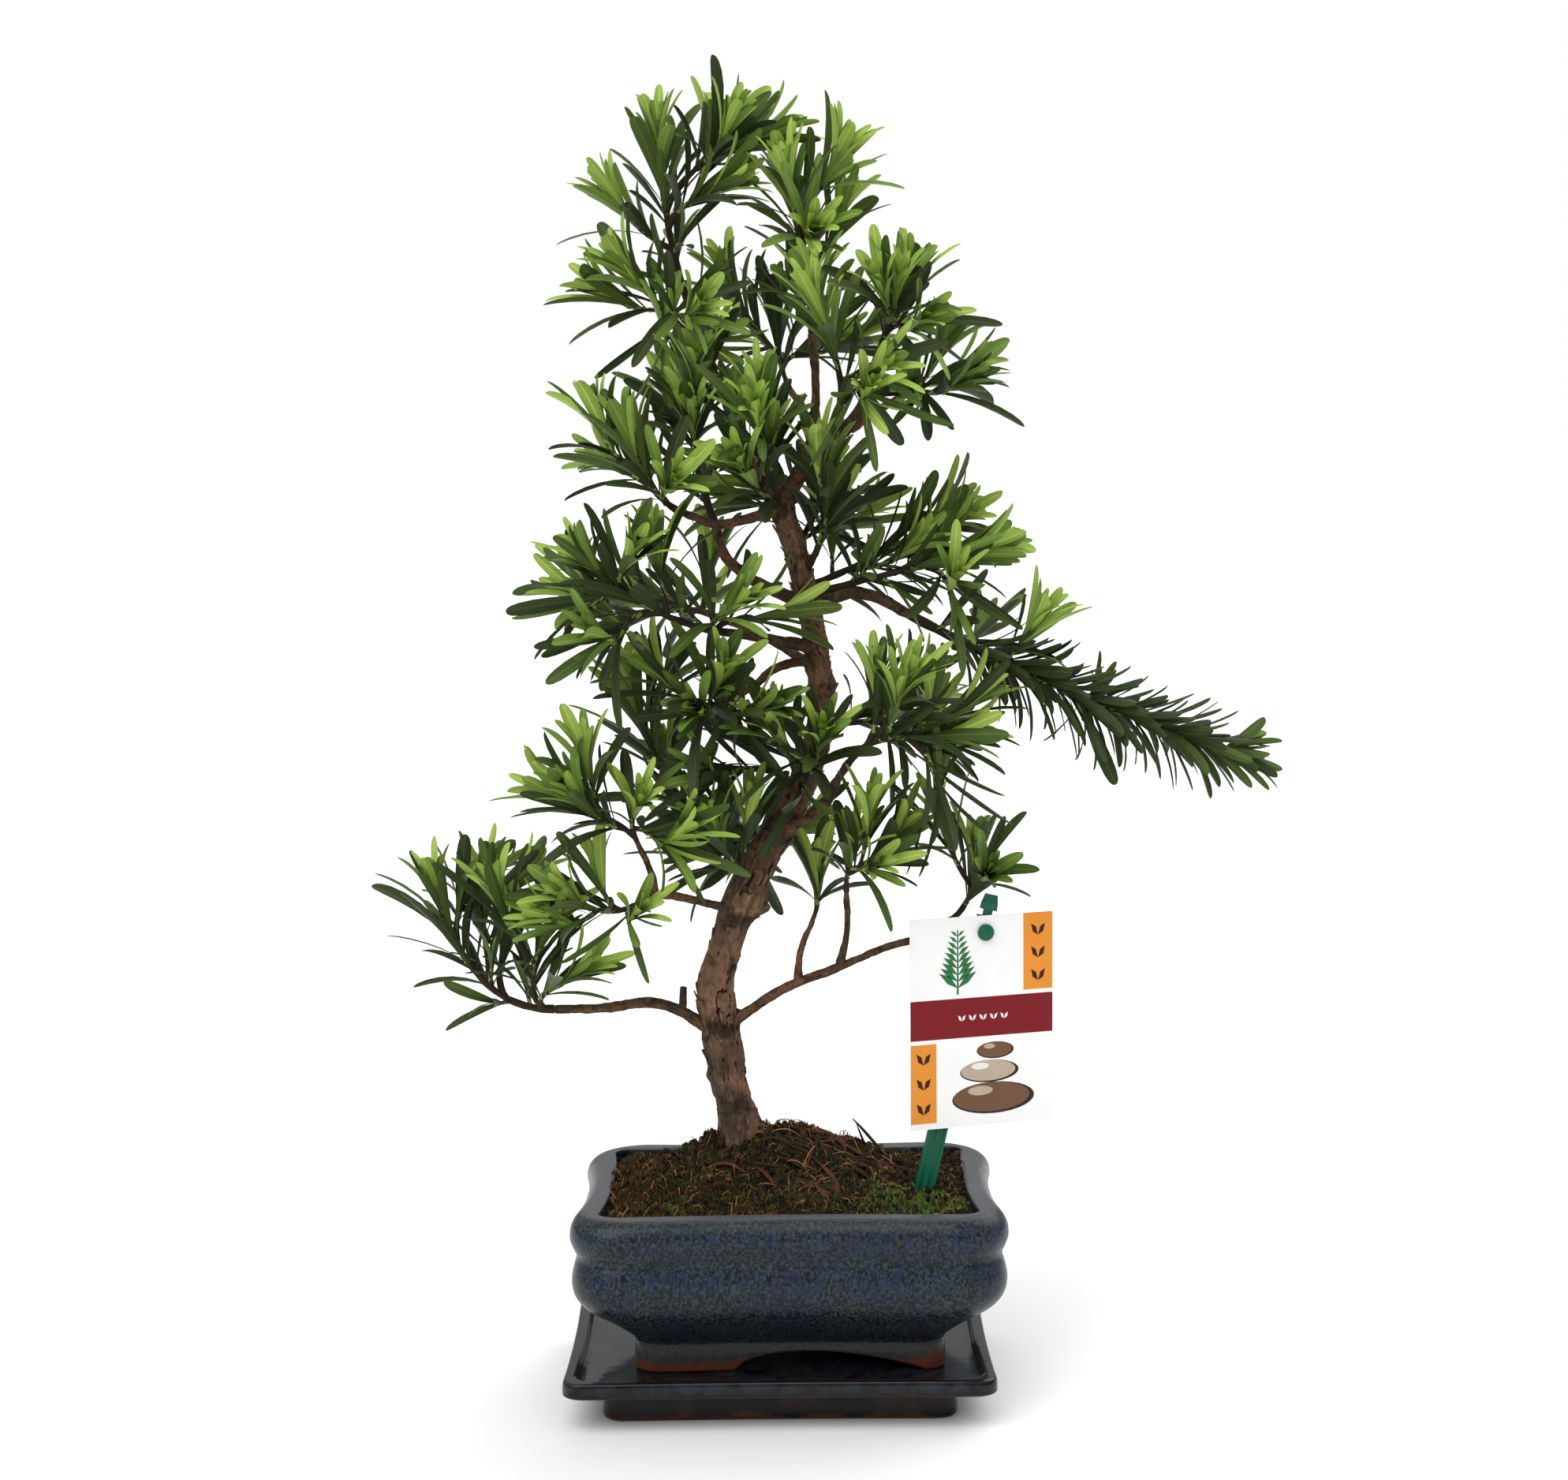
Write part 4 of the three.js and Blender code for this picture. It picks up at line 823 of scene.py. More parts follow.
def grow_masses(settings):
    """All the shoots of the crown, and all its leaves clear of the limbs and the label."""
    trunk = trunk_course()
    courses = bough_courses(trunk)
    leaf_length = settings.leaf_length / MM
    shoots, leaves = [], []
    for seed, mass in enumerate(MASSES, start=1):
        arm = mass[0] == ARM
        for shoot in shoots_of(mass, seed, trunk, courses):
            on_arm = arm and shoot["number"] == 0
            hanging = min(0, shoot["course"].along(1.0)[2])
            wander = noise(seed, shoot["number"], 9) - 0.5
            shoot["fresh"] = mass[4] + 0.5 * wander + 0.5 * hanging
            if arm and shoot["number"] < 2:
                shoot["fresh"] = 1.1 if shoot["number"] else ARM_FRESH
            shoots.append(shoot)
            leaves += leaves_of(shoot, on_arm, seed, leaf_length)
            if on_arm:
                leaves += leaves_of({**shoot, "number": 60}, on_arm, seed, leaf_length)
            tip_length = leaf_length * (ARM_LEAF_SIZE if on_arm else 1)
            leaves += tip_leaves_of(shoot, seed, tip_length, settings.tip_leaves)
            for twig in side_twigs_of(shoot, seed):
                shoots.append(twig)
                leaves += leaves_of(twig, False, seed, leaf_length * SIDE_LEAF_SIZE)
    return shoots, clear_of_limbs(leaves, trunk, courses)


def side_twigs_of(shoot, seed):
    """Short twigs on the part of a shoot that has no leaves of its own."""
    course, number = shoot["course"], shoot["number"]
    bare = course.length - shoot["leafy"]
    count = int((bare - SIDE_TWIGS_FROM) / SIDE_TWIG_STEP)
    twigs = []
    for i in range(max(0, count)):
        away = SIDE_TWIGS_FROM + SIDE_TWIG_STEP * (i + noise(seed + number, i, 11))
        share = away / course.length
        axis = course.along(share)
        outward = around(axis, i * GOLDEN_ANGLE + 6.28 * noise(seed, number, 12))
        heading = unit(axis * 0.5 + outward * 0.9 + UP * 0.2)
        start = course.at(share)
        end = start + heading * SIDE_TWIG_LENGTH * mix(0.7, 1.2, noise(seed + number, i, 13))
        twigs.append({"number": 80 + 10 * number + i, "course": sweep(start, heading, end),
                      "radius": 0.9, "leafy": SIDE_TWIG_LENGTH * 0.8,
                      "fresh": shoot["fresh"] - 0.35})
    return twigs


def clear_of_limbs(leaves, trunk, courses):
    """The leaves whose blades don't cross the trunk, a bough or the card."""
    shares = np.linspace(0, 1, 160)
    centres = [trunk.at(shares)]
    radii = [trunk_radius(centres[0][:, 2], 0.0)]
    for name, _place, bough_radii, _path in BOUGHS:
        shares = np.linspace(0, 1, 40)
        centres.append(courses[name].at(shares))
        radii.append(bough_radius(bough_radii, shares))
    across = np.linspace(-CARD_WIDTH / 2, CARD_WIDTH / 2, 12) - CARD_PIN_FROM_MIDDLE
    down = np.linspace(CARD_BOTTOM, CARD_TOP, 16)
    spots = np.array([card_place(u, 0, v) for u in across for v in down])
    centres.append(spots)
    radii.append(np.full(len(spots), 3.5))
    centres, radii = np.vstack(centres), np.concatenate(radii)
    kept = []
    for leaf in leaves:
        places = leaf["root"] + np.outer([0.4, 0.6, 0.8, 0.97], leaf["direction"]) * leaf["length"]
        away = np.linalg.norm(places[:, None] - centres[None], axis=2) - radii
        if away.min() > 0.8:
            kept.append(leaf)
    return kept


# Leaf blades

BLADE_ROWS = np.array([0, 0.08, 0.2, 0.35, 0.52, 0.7, 0.85, 0.94, 0.98, 1])
BLADE_WIDTHS = np.array([0.24, 0.34, 0.54, 0.76, 0.93, 1, 0.91, 0.7, 0.46, 0.16])
BLADE_PLACES = np.array([-1, -0.55, -0.07, 0.07, 0.55, 1])
RIB = 2


def add_blades(heap, leaves, half_width, fold):
    """Every leaf of a list as a bowed blade, with its midrib as a strip of its own finish."""
    root, direction, flat, length, bow = (np.array([leaf[key] for leaf in leaves]) for key in
                                          ("root", "direction", "across", "length", "bow"))
    chance = np.array([[noise(*leaf["keys"][:2], leaf["keys"][2] + key) for key in (0.3, 0.6, 0.9)]
                       for leaf in leaves])
    rise = np.cross(direction, flat)[:, None]
    row = BLADE_ROWS[None, :, None]
    spine = (root[:, None] + direction[:, None] * length[:, None, None] * row
             + rise * (length * bow)[:, None, None] * 4 * row * (1 - row)
             - UP * (length * (0.02 + 0.1 * chance[:, 0]))[:, None, None] * row ** 2)
    twist = ((chance[:, 1] - 0.5)[:, None] * 0.9 * BLADE_ROWS[None, :])[..., None]
    across = flat[:, None] * np.cos(twist) + rise * np.sin(twist)
    upward = rise * np.cos(twist) - flat[:, None] * np.sin(twist)
    wide = half_width * (0.75 + 0.6 * chance[:, 2] ** 2)
    wide = wide * np.minimum(1.1, 0.55 + 0.45 * length / 40)
    half = (wide[:, None] * BLADE_WIDTHS[None, :])[..., None, None]
    place = BLADE_PLACES[None, None, :, None]
    points = (spine[:, :, None] + across[:, :, None] * place * half
              + upward[:, :, None] * half * fold * np.abs(place) ** 1.4)
    rows, columns = len(BLADE_ROWS), len(BLADE_PLACES)
    faces = grid_faces(rows, columns, False)
    finish = np.where(np.arange(len(faces)) % (columns - 1) == RIB, 1, 0)
    every = faces[None] + (np.arange(len(leaves)) * rows * columns)[:, None, None]
    heap.add(points, every.reshape(-1, 4), np.tile(finish, len(leaves)))


# Turned shapes pressed into a rectangle with round corners and hollow sides

SIDE_STEPS = 14
CORNER_STEPS = 12


def outline(half_x, half_y, corner, waist):
    """The points of one ring, from the middle of the front anticlockwise."""
    long_side, short_side = half_x - corner, half_y - corner
    along = np.linspace(0, 1, SIDE_STEPS, endpoint=False)
    bend = np.linspace(0, math.pi / 2, CORNER_STEPS, endpoint=False)
    down = np.linspace(1, 0, SIDE_STEPS, endpoint=False)
    x = np.concatenate([long_side * along, long_side + corner * np.sin(bend),
                        half_x - waist[1] * (1 - down ** 2)])
    y = np.concatenate([half_y - waist[0] * (1 - along ** 2) ** 1.5,
                        short_side + corner * np.cos(bend), short_side * down])
    quarters = [(x, -y), (x[::-1], y[::-1]), (-x, y), (-x[::-1], -y[::-1])]
    ring = []
    for number, (across, away) in enumerate(quarters):
        points = np.stack([across, away], -1)
        ring.append(np.roll(points, 1, axis=0) if number % 2 else points)
    ring[1][0] = (half_x - waist[1], 0)
    ring[3][0] = (-(half_x - waist[1]), 0)
    return np.vstack(ring)


def pressed_ring(half_width, height, corner, mould):
    depth = half_width - mould.narrower * min(1, half_width / FULLY_PRESSED_FROM)
    hollow = np.array(mould.waist) * half_width / BELLY_HALF_WIDTH
    ring = outline(half_width, depth, min(corner, depth * 0.7), hollow)
    ring[:, 0] *= 1 - mould.back_narrower * np.clip(ring[:, 1] / depth, 0, 1)
    return np.column_stack([ring[:, 0] + mould.centre, ring[:, 1], np.full(len(ring), height)])


def pressed_rings(profile, corner, mould):
    corners = np.broadcast_to(corner, len(profile))
    return np.array([pressed_ring(x, z, bend, mould) for (x, z), bend in zip(profile, corners)])


def rounded(profile, times):
    """A profile with its corners cut again and again until they are round."""
    points = np.array(profile, dtype=float)
    for _ in range(times):
        near = mix(points[:-1], points[1:], 0.25)
        far = mix(points[:-1], points[1:], 0.75)
        points = np.vstack([points[:1], np.stack([near, far], 1).reshape(-1, 2), points[-1:]])
    return points


def pressed_heap(rings):
    """The skin over a stack of rings, with both of its ends closed."""
    heap = Heap()
    heap.add(rings, grid_faces(len(rings), rings.shape[1], True))
    for ring, flip in ((rings[0], True), (rings[-1], False)):
        fan = fan_faces(len(ring))
        heap.add(np.vstack([ring, ring.mean(0)]), fan[:, ::-1] if flip else fan)
    return heap


# Soil

def soil_height(x, y):
    foot = TRUNK_BENDS[0]
    away = x - foot[0] - HEAP_FROM_TRUNK
    side = np.where(away < 0, HEAP_LEFT, HEAP_RIGHT)
    spread = (away / side) ** 2 + ((y - foot[1]) / HEAP_SHORT) ** 2
    hummocks = 0.9 * np.sin(x * 0.21 + 1) * np.cos(y * 0.26) + 0.5 * np.sin(x * 0.09 - y * 0.13)
    return SOIL_EDGE + HEAP_RISE * np.exp(-spread) + hummocks


def soil_surface(x, y):
    """The height of the soil with its crumbs and hollows."""
    flat = np.stack([x, y, np.zeros_like(x)], -1)
    crumbs = 2.4 * layered_noise(flat / 8, 3) + 2.6 * layered_noise(flat / 3.2 + 40, 2)
    return soil_height(x, y) + crumbs


def soil_level(x, y):
    return float(soil_surface(np.array([x]), np.array([y]))[0])


# Label

def card_place(across, away, up, lean=0):
    """A place from the pin of the label, in the frame of the whole."""
    lean, turn = math.radians(lean), math.radians(LABEL_TURN)
    x = across * math.cos(lean) + up * math.sin(lean)
    z = up * math.cos(lean) - across * math.sin(lean)
    forward, sideways = math.cos(turn), math.sin(turn)
    place = (x * forward - away * sideways, x * sideways + away * forward, z)
    return np.array(place) + CARD_PIN


# What a user may change

def length(name, text, value):
    return FloatProperty(name=name, description=text, default=value, min=0.0,
                         subtype="DISTANCE", unit="LENGTH")


def colour(name, text, value):
    return FloatVectorProperty(name=name, description=text, default=value, min=0.0, max=1.0,
                               subtype="COLOR")


def number(name, text, value):
    return FloatProperty(name=name, description=text, default=value)


def count(name, text, value):
    return IntProperty(name=name, description=text, default=value)


class TreeSettings(bpy.types.PropertyGroup):
    leaf_length: length("Leaf length", "Length of a full leaf", 0.0435)
    leaf_half_width: length("Half leaf width", "Half the width of a full leaf", 0.0027)
    leaf_fold: number("Leaf fold", "How far the two halves of a leaf rise", 0.36)
    tip_leaves: count("Tip leaves", "Young leaves at the tip of each shoot", 9)
    bark_relief: length("Bark relief", "Height of the flakes of bark on the trunk", 0.0009)
    bark_dark: colour("Bark cracks", "Colour in the cracks of the bark", (0.013, 0.008, 0.005))
    bark_grey: colour("Grey bark", "Colour of the weathered flakes", (0.1, 0.068, 0.045))
    bark_tan: colour("Tan bark", "Colour of the younger bark", (0.29, 0.165, 0.092))
    bark_pink: colour("Pink bark", "Colour where a flake has come off", (0.27, 0.12, 0.066))
    bough_grey: colour("Grey bough", "Weathered colour of the boughs", (0.085, 0.06, 0.037))
    bough_tan: colour("Tan bough", "Fresh colour of the boughs", (0.15, 0.085, 0.042))
    bough_red: colour("Red bough", "Warm colour of the youngest bark", (0.23, 0.09, 0.04))
    twig_olive: colour("Olive twig", "Colour of the twigs", (0.13, 0.1, 0.045))
    twig_dark: colour("Dark twig", "Colour between the leaf scars", (0.035, 0.024, 0.013))
    shoot_green: colour("Green shoot", "Colour of the leafy shoots", (0.16, 0.24, 0.05))
    young: colour("Young leaf", "Colour of the newest leaves", (0.33, 0.46, 0.085))
    fresh: colour("Fresh leaf", "Colour of this year's leaves", (0.17, 0.27, 0.05))
    mature: colour("Mature leaf", "Colour of last year's leaves", (0.066, 0.105, 0.02))
    old: colour("Old leaf", "Colour of the oldest leaves", (0.032, 0.048, 0.014))


class PotSettings(bpy.types.PropertyGroup):
    glaze_dark: colour("Dark glaze", "Darkest colour of the pot's glaze", (0.003, 0.005, 0.006))
    glaze_blue: colour("Blue glaze", "Blue of the pot's glaze", (0.009, 0.018, 0.042))
    glaze_grey: colour("Grey glaze", "Grey-green of the pot's glaze", (0.034, 0.046, 0.05))
    clay: colour("Clay", "Bare clay at the foot", (0.11, 0.032, 0.017))
    tray_glaze: colour("Tray glaze", "Brown-black glaze of the tray", (0.004, 0.0025, 0.0022))
    tray_edge: colour("Tray edge", "Blue-grey where its glaze runs thin", (0.014, 0.02, 0.028))


class SoilSettings(bpy.types.PropertyGroup):
    fibres: count("Fibres", "Loose fibres on the soil", 2600)
    clods: count("Clods", "Crumbs and lumps of soil", 5200)
    strips: count("Strips", "Strips of bark on the heap", 34)
    sprigs: count("Moss sprigs", "Sprigs of moss on the soil", 9000)
    dark: colour("Dark soil", "Colour of the wet soil", (0.004, 0.0026, 0.0014))
    brown: colour("Brown soil", "Colour of the crumbs", (0.028, 0.015, 0.006))
    bark: colour("Bark strips", "Colour of the strips and red crumbs", (0.075, 0.03, 0.014))
    straw: colour("Fibre", "Colour of the fibres", (0.2, 0.1, 0.04))
    moss: colour("Moss", "Colour of the moss", (0.075, 0.085, 0.012))
    bright_moss: colour("Bright moss", "Colour of the moss at the right", (0.15, 0.25, 0.045))
    rusty_moss: colour("Rusty moss", "Colour of the moss at the left", (0.17, 0.075, 0.012))


class LabelSettings(bpy.types.PropertyGroup):
    white: colour("Card", "Colour of the card", (0.95, 0.95, 0.94))
    red: colour("Band", "Colour of the card's band", (0.2, 0.009, 0.014))
    orange: colour("Bars", "Colour of the card's bars", (0.8, 0.29, 0.035))
    bronze: colour("Pebbles", "Colour of the printed pebbles", (0.16, 0.085, 0.045))
    leaf: colour("Sprig", "Colour of the printed sprig", (0.03, 0.17, 0.06))
    stick: colour("Stick", "Colour of the plastic stick", (0.0, 0.115, 0.058))


class StageSettings(bpy.types.PropertyGroup):
    floor: colour("Floor", "Colour of the floor", (0.88, 0.88, 0.88))
    air: number("Overhead", "Brightness of the room overhead", 1.0)
    sides: number("Sides", "Brightness of the room at the level of the floor", 0.22)
    main: number("Main light", "Strength of the light from the front left", 1.7)
    back: number("Back light", "Strength of the light from the back right", 1.2)
    focal: number("Focal length", "Of the camera, in millimetres", 68.8)


# The pieces

class BONSAI_OT_trunk(bpy.types.Operator):
    """Make the trunk with the relief of its bark"""
    bl_idname = "bonsai.trunk"
    bl_label = "Trunk"

    def execute(self, context):
        settings = context.scene.bonsai_tree
        trunk = trunk_course()
        height = settings.bark_relief / MM

        def marks(shares, angles):
            place = unrolled(shares, angles, 8, trunk.length)
            flakes = step(grain(place, 6, 15, 3), 0.02, 0.14)
            crusts = step(grain(place, 3.4, 8, 3, 30), 0.3, 0.16)
            cracks = 1 - step(np.abs(grain(place, 6, 24, 3, 70)), 0.07, 0.08)
            rough = grain(place, 1.3, 3.4, 2, 90)
            return np.clip(0.38 + 0.3 * flakes + 0.22 * crusts - 0.4 * cracks + 0.09 * rough, 0, 1)

        def radius_at(shares, angles):
            levels = trunk.at(shares[:, 0])[:, 2:3]
            smooth = trunk_radius(levels, angles)
            lumps = 0.7 * grain(unrolled(shares, angles, 8, trunk.length), 11, 19, 3)
            for level, turn, size, spread in KNOBS:
                apart = (levels - level) / spread
                beside = (angles - math.radians(turn) + math.pi) % (2 * math.pi) - math.pi
                lumps = lumps + size * np.exp(-apart ** 2 - (beside * smooth / spread) ** 2)
            relief = height * 2.2 * (marks(shares, angles) - 0.55)
            return smooth + (lumps + relief) * np.clip(smooth / TRUNK_FOOT_RADIUS, 0.5, 1)

        heap = Heap()
        start = trunk_share(trunk, SOIL_TOP - 2.5)
        add_tube(heap, trunk, radius_at, 132, 560, start, marks)
        self.add_flakes(heap, trunk, radius_at)
        colours = (settings.bark_dark, settings.bark_grey, settings.bark_tan, settings.bark_pink)
        add_piece("trunk_bark", heap, [bark_finish("bark", colours, 1)], ["trunk"])
        return {"FINISHED"}

    def add_flakes(self, heap, trunk, radius_at):
        """Loose flakes of bark whose ends curl away from the trunk."""
        chance = np.random.default_rng(3)
        shares = np.linspace(0, 1, 401)
        normals, binormals = frames_along(trunk.along(shares))
        for _ in range(BARK_FLAKES):
            place = int(chance.uniform(22, 395))
            turn = chance.uniform(0, 2 * math.pi)
            wide, tall = chance.uniform(1.2, 3.2), chance.uniform(1.8, 5.5)
            curl = chance.uniform(0.5, 2)
            flake = []
            for across, row in itertools.product((-1, 0, 1), repeat=2):
                share = shares[place] + row * tall / trunk.length
                angle = turn + across * wide * (1 - 0.3 * row * row) / 9 + 0.06 * row
                out = binormals[place] * math.cos(angle) + normals[place] * math.sin(angle)
                radius = float(radius_at(np.array([[share]]), np.array([[angle]]))[0, 0])
                lift = curl * (0.25 + 0.75 * max(row, 0)) * (1 if across else 0.7)
                flake.append(trunk.at(share) + out * (radius + lift - 0.2))
            heap.add(flake, grid_faces(3, 3, False), mark=chance.uniform(0.5, 0.9))


class BONSAI_OT_boughs(bpy.types.Operator):
    """Make the boughs with their bark and scars"""
    bl_idname = "bonsai.boughs"
    bl_label = "Boughs"

    def execute(self, context):
        settings = context.scene.bonsai_tree
        courses = bough_courses(trunk_course())
        heap = Heap()
        for key, (name, _place, radii, _path) in enumerate(BOUGHS):
            self.add_limb(heap, courses[name], radii, key)
        parent = courses["low_left_bough"]
        foot = parent.at(parent.nearest(np.array(PEG) - (0, 0, PEG_FOOT_BELOW)))
        peg = smooth_course([foot, mix(foot, np.array(PEG), 0.5), PEG])
        self.add_limb(heap, peg, PEG_RADII, 40)
        colours = (settings.bark_dark, settings.bough_grey, settings.bough_tan, settings.bough_red)
        names = [bough[0] for bough in BOUGHS]
        add_piece("bough_bark", heap, [bark_finish("young_bark", colours, 2)], names)
        return {"FINISHED"}

    def add_limb(self, heap, course, radii, key):
        """One bough with its collar, lumps and scars. The key keeps its bark its own."""

        def marks(shares, angles):
            spots = unrolled(shares, angles, 3, course.length, 31 * key)
            rough = grain(spots, 1.4, 3.2, 3)
            crusts = step(grain(spots, 2, 5, 2, 60), 0.1, 0.3)
            return np.clip(0.4 + 0.22 * rough + 0.3 * crusts, 0, 1)

        def radius_at(shares, angles):
            collar = radii[0] * 0.5 * np.exp(-np.maximum(shares * course.length - 4, 0) / 4)
            smooth = mix(radii[0], radii[1], shares) + collar
            spots = unrolled(shares, angles, 3, course.length, 31 * key)
            lumps = 0.3 * grain(spots, 4, 5.5, 2)
            scars = 0.45 * np.maximum(grain(spots, 2.2, 1.6, 1, 15) - 0.45, 0)
            return smooth + lumps + scars + 0.6 * (marks(shares, angles) - 0.5)

        add_tube(heap, course, radius_at, 20, max(12, round(course.length / 0.8)), mark_at=marks)


# The age of a leaf that each tint goes up to
TINT_AGES = {"young": -0.02, "fresh": 0.28, "mature": 0.62, "old": math.inf}


class BONSAI_OT_foliage(bpy.types.Operator):
    """Grow the shoots and every leaf of the crown"""
    bl_idname = "bonsai.foliage"
    bl_label = "Shoots and leaves"

    def execute(self, context):
        settings = context.scene.bonsai_tree
        names = [mass[0] for mass in MASSES]
        shoots, leaves = grow_masses(settings)
        self.make_shoots(settings, shoots, names)
        self.make_leaves(settings, leaves, names)
        return {"FINISHED"}

    def make_shoots(self, settings, shoots, names):
        """Each shoot as a twig, with a green skin over the part that carries leaves."""
        woody, green = Heap(), Heap()
        for shoot in shoots:
            course, girth = shoot["course"], shoot["radius"]
            rows = max(4, round(course.length / 3))
            key = 3.1 * len(woody.points)
            leafy_from = max(0.0, 1 - shoot["leafy"] / course.length + 0.12)
            for heap, skin, start in ((woody, 0, 0.0), (green, 0.04, leafy_from)):

                def radius_at(shares, angles):
                    knots = 0.2 * np.sin(shares * course.length * 1.7 + 2 * angles + key)
                    return mix(1.12 * girth, 0.95, shares ** 0.8) + knots + skin

                add_tube(heap, course, radius_at, 7, rows, start)
        olive = (settings.twig_dark, settings.twig_olive, settings.bough_tan, settings.bough_red)
        add_piece("twigs", woody, [bark_finish("twig_bark", olive, 3)], names)
        stems = Paint("green_shoot", 0.5)
        cloud = stems.noise(160, 3)
        stems.colour(stems.ramp(cloud, [(0.35, settings.shoot_green), (0.65, settings.fresh)]))
        stems.bump(stems.noise(700, 3), 0.3, 0.0003)
        add_piece("green_shoots", green, [stems.material], names)

    def make_leaves(self, settings, leaves, names):
        """The leaves in four ages, from the newest to the oldest."""
        tints = {tint: [] for tint in TINT_AGES}
        for leaf in leaves:
            chance = noise(leaf["keys"][0], leaf["keys"][1] + 0.5, leaf["keys"][2])
            age = leaf["back"] + 0.45 - 0.75 * leaf["fresh"] + 0.3 * (chance - 0.5)
            tints[next(tint for tint, end in TINT_AGES.items() if age < end)].append(leaf)
        order = list(TINT_AGES)
        for tint, next_tint in zip(order, order[1:] + order[-1:]):
            heap = Heap()
            add_blades(heap, tints[tint], settings.leaf_half_width / MM, settings.leaf_fold)
            base, darker = np.array(getattr(settings, tint)), np.array(getattr(settings, next_tint))
            blade = leaf_finish(f"{tint}_leaf", base, mix(base, darker, 0.35))
            rib = leaf_finish(f"{tint}_rib", np.minimum(base * 1.6 + 0.02, 1), base * 1.2)
            add_piece(f"leaves_{tint}", heap, [blade, rib], names)


class BONSAI_OT_pot(bpy.types.Operator):
    """Make the glazed pot and its drip tray"""
    bl_idname = "bonsai.pot"
    bl_label = "Pot and tray"

    def execute(self, context):
        settings = context.scene.bonsai_pot
        self.make_pot(settings)
        self.make_tray(settings)
        return {"FINISHED"}

    def make_pot(self, settings):
        foot, inner_foot = FOOT_HALF_WIDTH, FOOT_HALF_WIDTH - FOOT_RING
        belly, wall, lip = BELLY_HALF_WIDTH, POT_WALL_AT, BELLY_HALF_WIDTH - RIM_INSET
        recess = POT_FOOT + 10
        foot_ring = [(30, recess), (inner_foot, recess), (inner_foot, POT_FOOT),
                     (inner_foot + 2, POT_FOOT), (foot - 1, POT_FOOT), (foot, POT_FOOT + 1.5),
                     (foot, POT_FOOT + 8), (foot - 0.5, POT_FOOT + 13.5)]
        side = [(foot - 0.5, POT_FOOT + 14), (foot + 0.6, POT_FOOT + 16),
                (belly - 18, POT_FOOT + 23), (belly - 6.2, POT_FOOT + 31.5),
                (belly - 0.4, POT_FOOT + 39.5), (belly + 1, POT_FOOT + 47.5),
                (belly - 0.4, POT_FOOT + 54.5), (belly - 2, POT_FOOT + 59),
                (belly, POT_FOOT + 63), (belly + 1.6, POT_FOOT + 68.5),
                (belly + 0.4, POT_FOOT + 75), (lip + 1, POT_TOP), (lip - 2, POT_TOP),
                (lip + 0.6 - LIP_WIDTH, POT_TOP), (wall + 0.6, POT_TOP - 1.5),
                (wall, POT_FOOT + 64)]
        inside = [(wall, POT_FOOT + 60), (wall - 4, POT_INNER_FLOOR + 21),
                  (wall - 13, POT_INNER_FLOOR + 6), (wall - 22, POT_INNER_FLOOR)]
        rows = np.vstack([rounded(foot_ring, 2), rounded(side, 3), rounded(inside, 2)])
        past_rim = np.arange(len(rows)) >= rows[:, 1].argmax()
        inward = np.clip((lip - rows[:, 0]) / LIP_WIDTH, 0, 1) * past_rim
        upward = np.clip((rows[:, 1] - POT_FOOT - 13) / 14, 0, 1)
        corners = mix(mix(FOOT_CORNER, POT_CORNER, upward), MOUTH_CORNER, inward)
        rings = pressed_rings(rows, corners, POT_MOULD)
        rings[..., 2] += self.arch_rise(rings)
        add_piece("pot_glazed", pressed_heap(rings), [self.glaze(settings)], ["pot"])

    def arch_rise(self, rings):
        """How far the foot's lower edge rises over the arch in front, and over its twin behind."""
        across = (rings[..., 0] - POT_X) * np.where(rings[..., 1] < 0, 1, -1)
        share = np.clip((across - ARCH_FROM) / (ARCH_TO - ARCH_FROM), 0, 1)
        arch = ARCH_HEIGHT * np.sin(math.pi * share ** 0.72) ** 0.75
        low = np.clip(1 - (rings[..., 2] - POT_FOOT) / ARCH_FADES_AT, 0, 1)
        return arch * low * (rings[..., 2] < POT_FOOT + ARCH_FADES_AT)

    def glaze(self, settings):
        """Mottled blue glaze that pales on the edges and stops short on the clay of the foot."""
        paint = Paint("pot_glaze", 0.4, Specular_IOR_Level=0.2, Coat_Weight=0.05,
                      Coat_Roughness=0.2)
        height = paint.height()
        speck = paint.noise(760, 4, 0.65, paint.stretched((1, 1, 0.8)))
        cloud = paint.noise(28, 5, 0.6)
        runs = paint.noise(520, 4, 0.6, paint.stretched((1, 1, 0.3)))
        dark, grey = np.array(settings.glaze_dark), np.array(settings.glaze_grey)
        body = paint.ramp(speck, [(0.43, dark), (0.5, mix(dark, grey, 0.3)), (0.6, grey * 1.1)])
        bluer = paint.ramp(speck, [(0.43, dark), (0.58, np.array(settings.glaze_blue) * 1.2)])
        body = paint.blend(paint.span(cloud, 0.45, 0.65, 0, 0.5), body, bluer)
        hollows = paint.maths("MAXIMUM", paint.between(height, *UNDER_LIP),
                              paint.between(height, *GROOVE))
        streaks = paint.maths("MULTIPLY", hollows, paint.span(runs, 0.45, 0.6))
        body = paint.blend(paint.maths("MULTIPLY", streaks, 0.55), body, STREAK_BLUE)
        body = paint.blend(paint.span(height, *RIM_BAND, 0, 0.9), body, RIM_GREY)
        body = paint.blend(paint.span(height, *FOOT_BAND, 0, 0.6), body, FOOT_GREY)
        worn = paint.maths("ADD", height, paint.span(cloud, 0.3, 0.7, -0.004, 0.004))
        body = paint.blend(paint.span(worn, *POT_CLAY), body, settings.clay)
        paint.colour(body).rough(paint.span(speck, 0.35, 0.65, 0.24, 0.42))
        return paint.bump(speck, 0.35, 0.0004).material

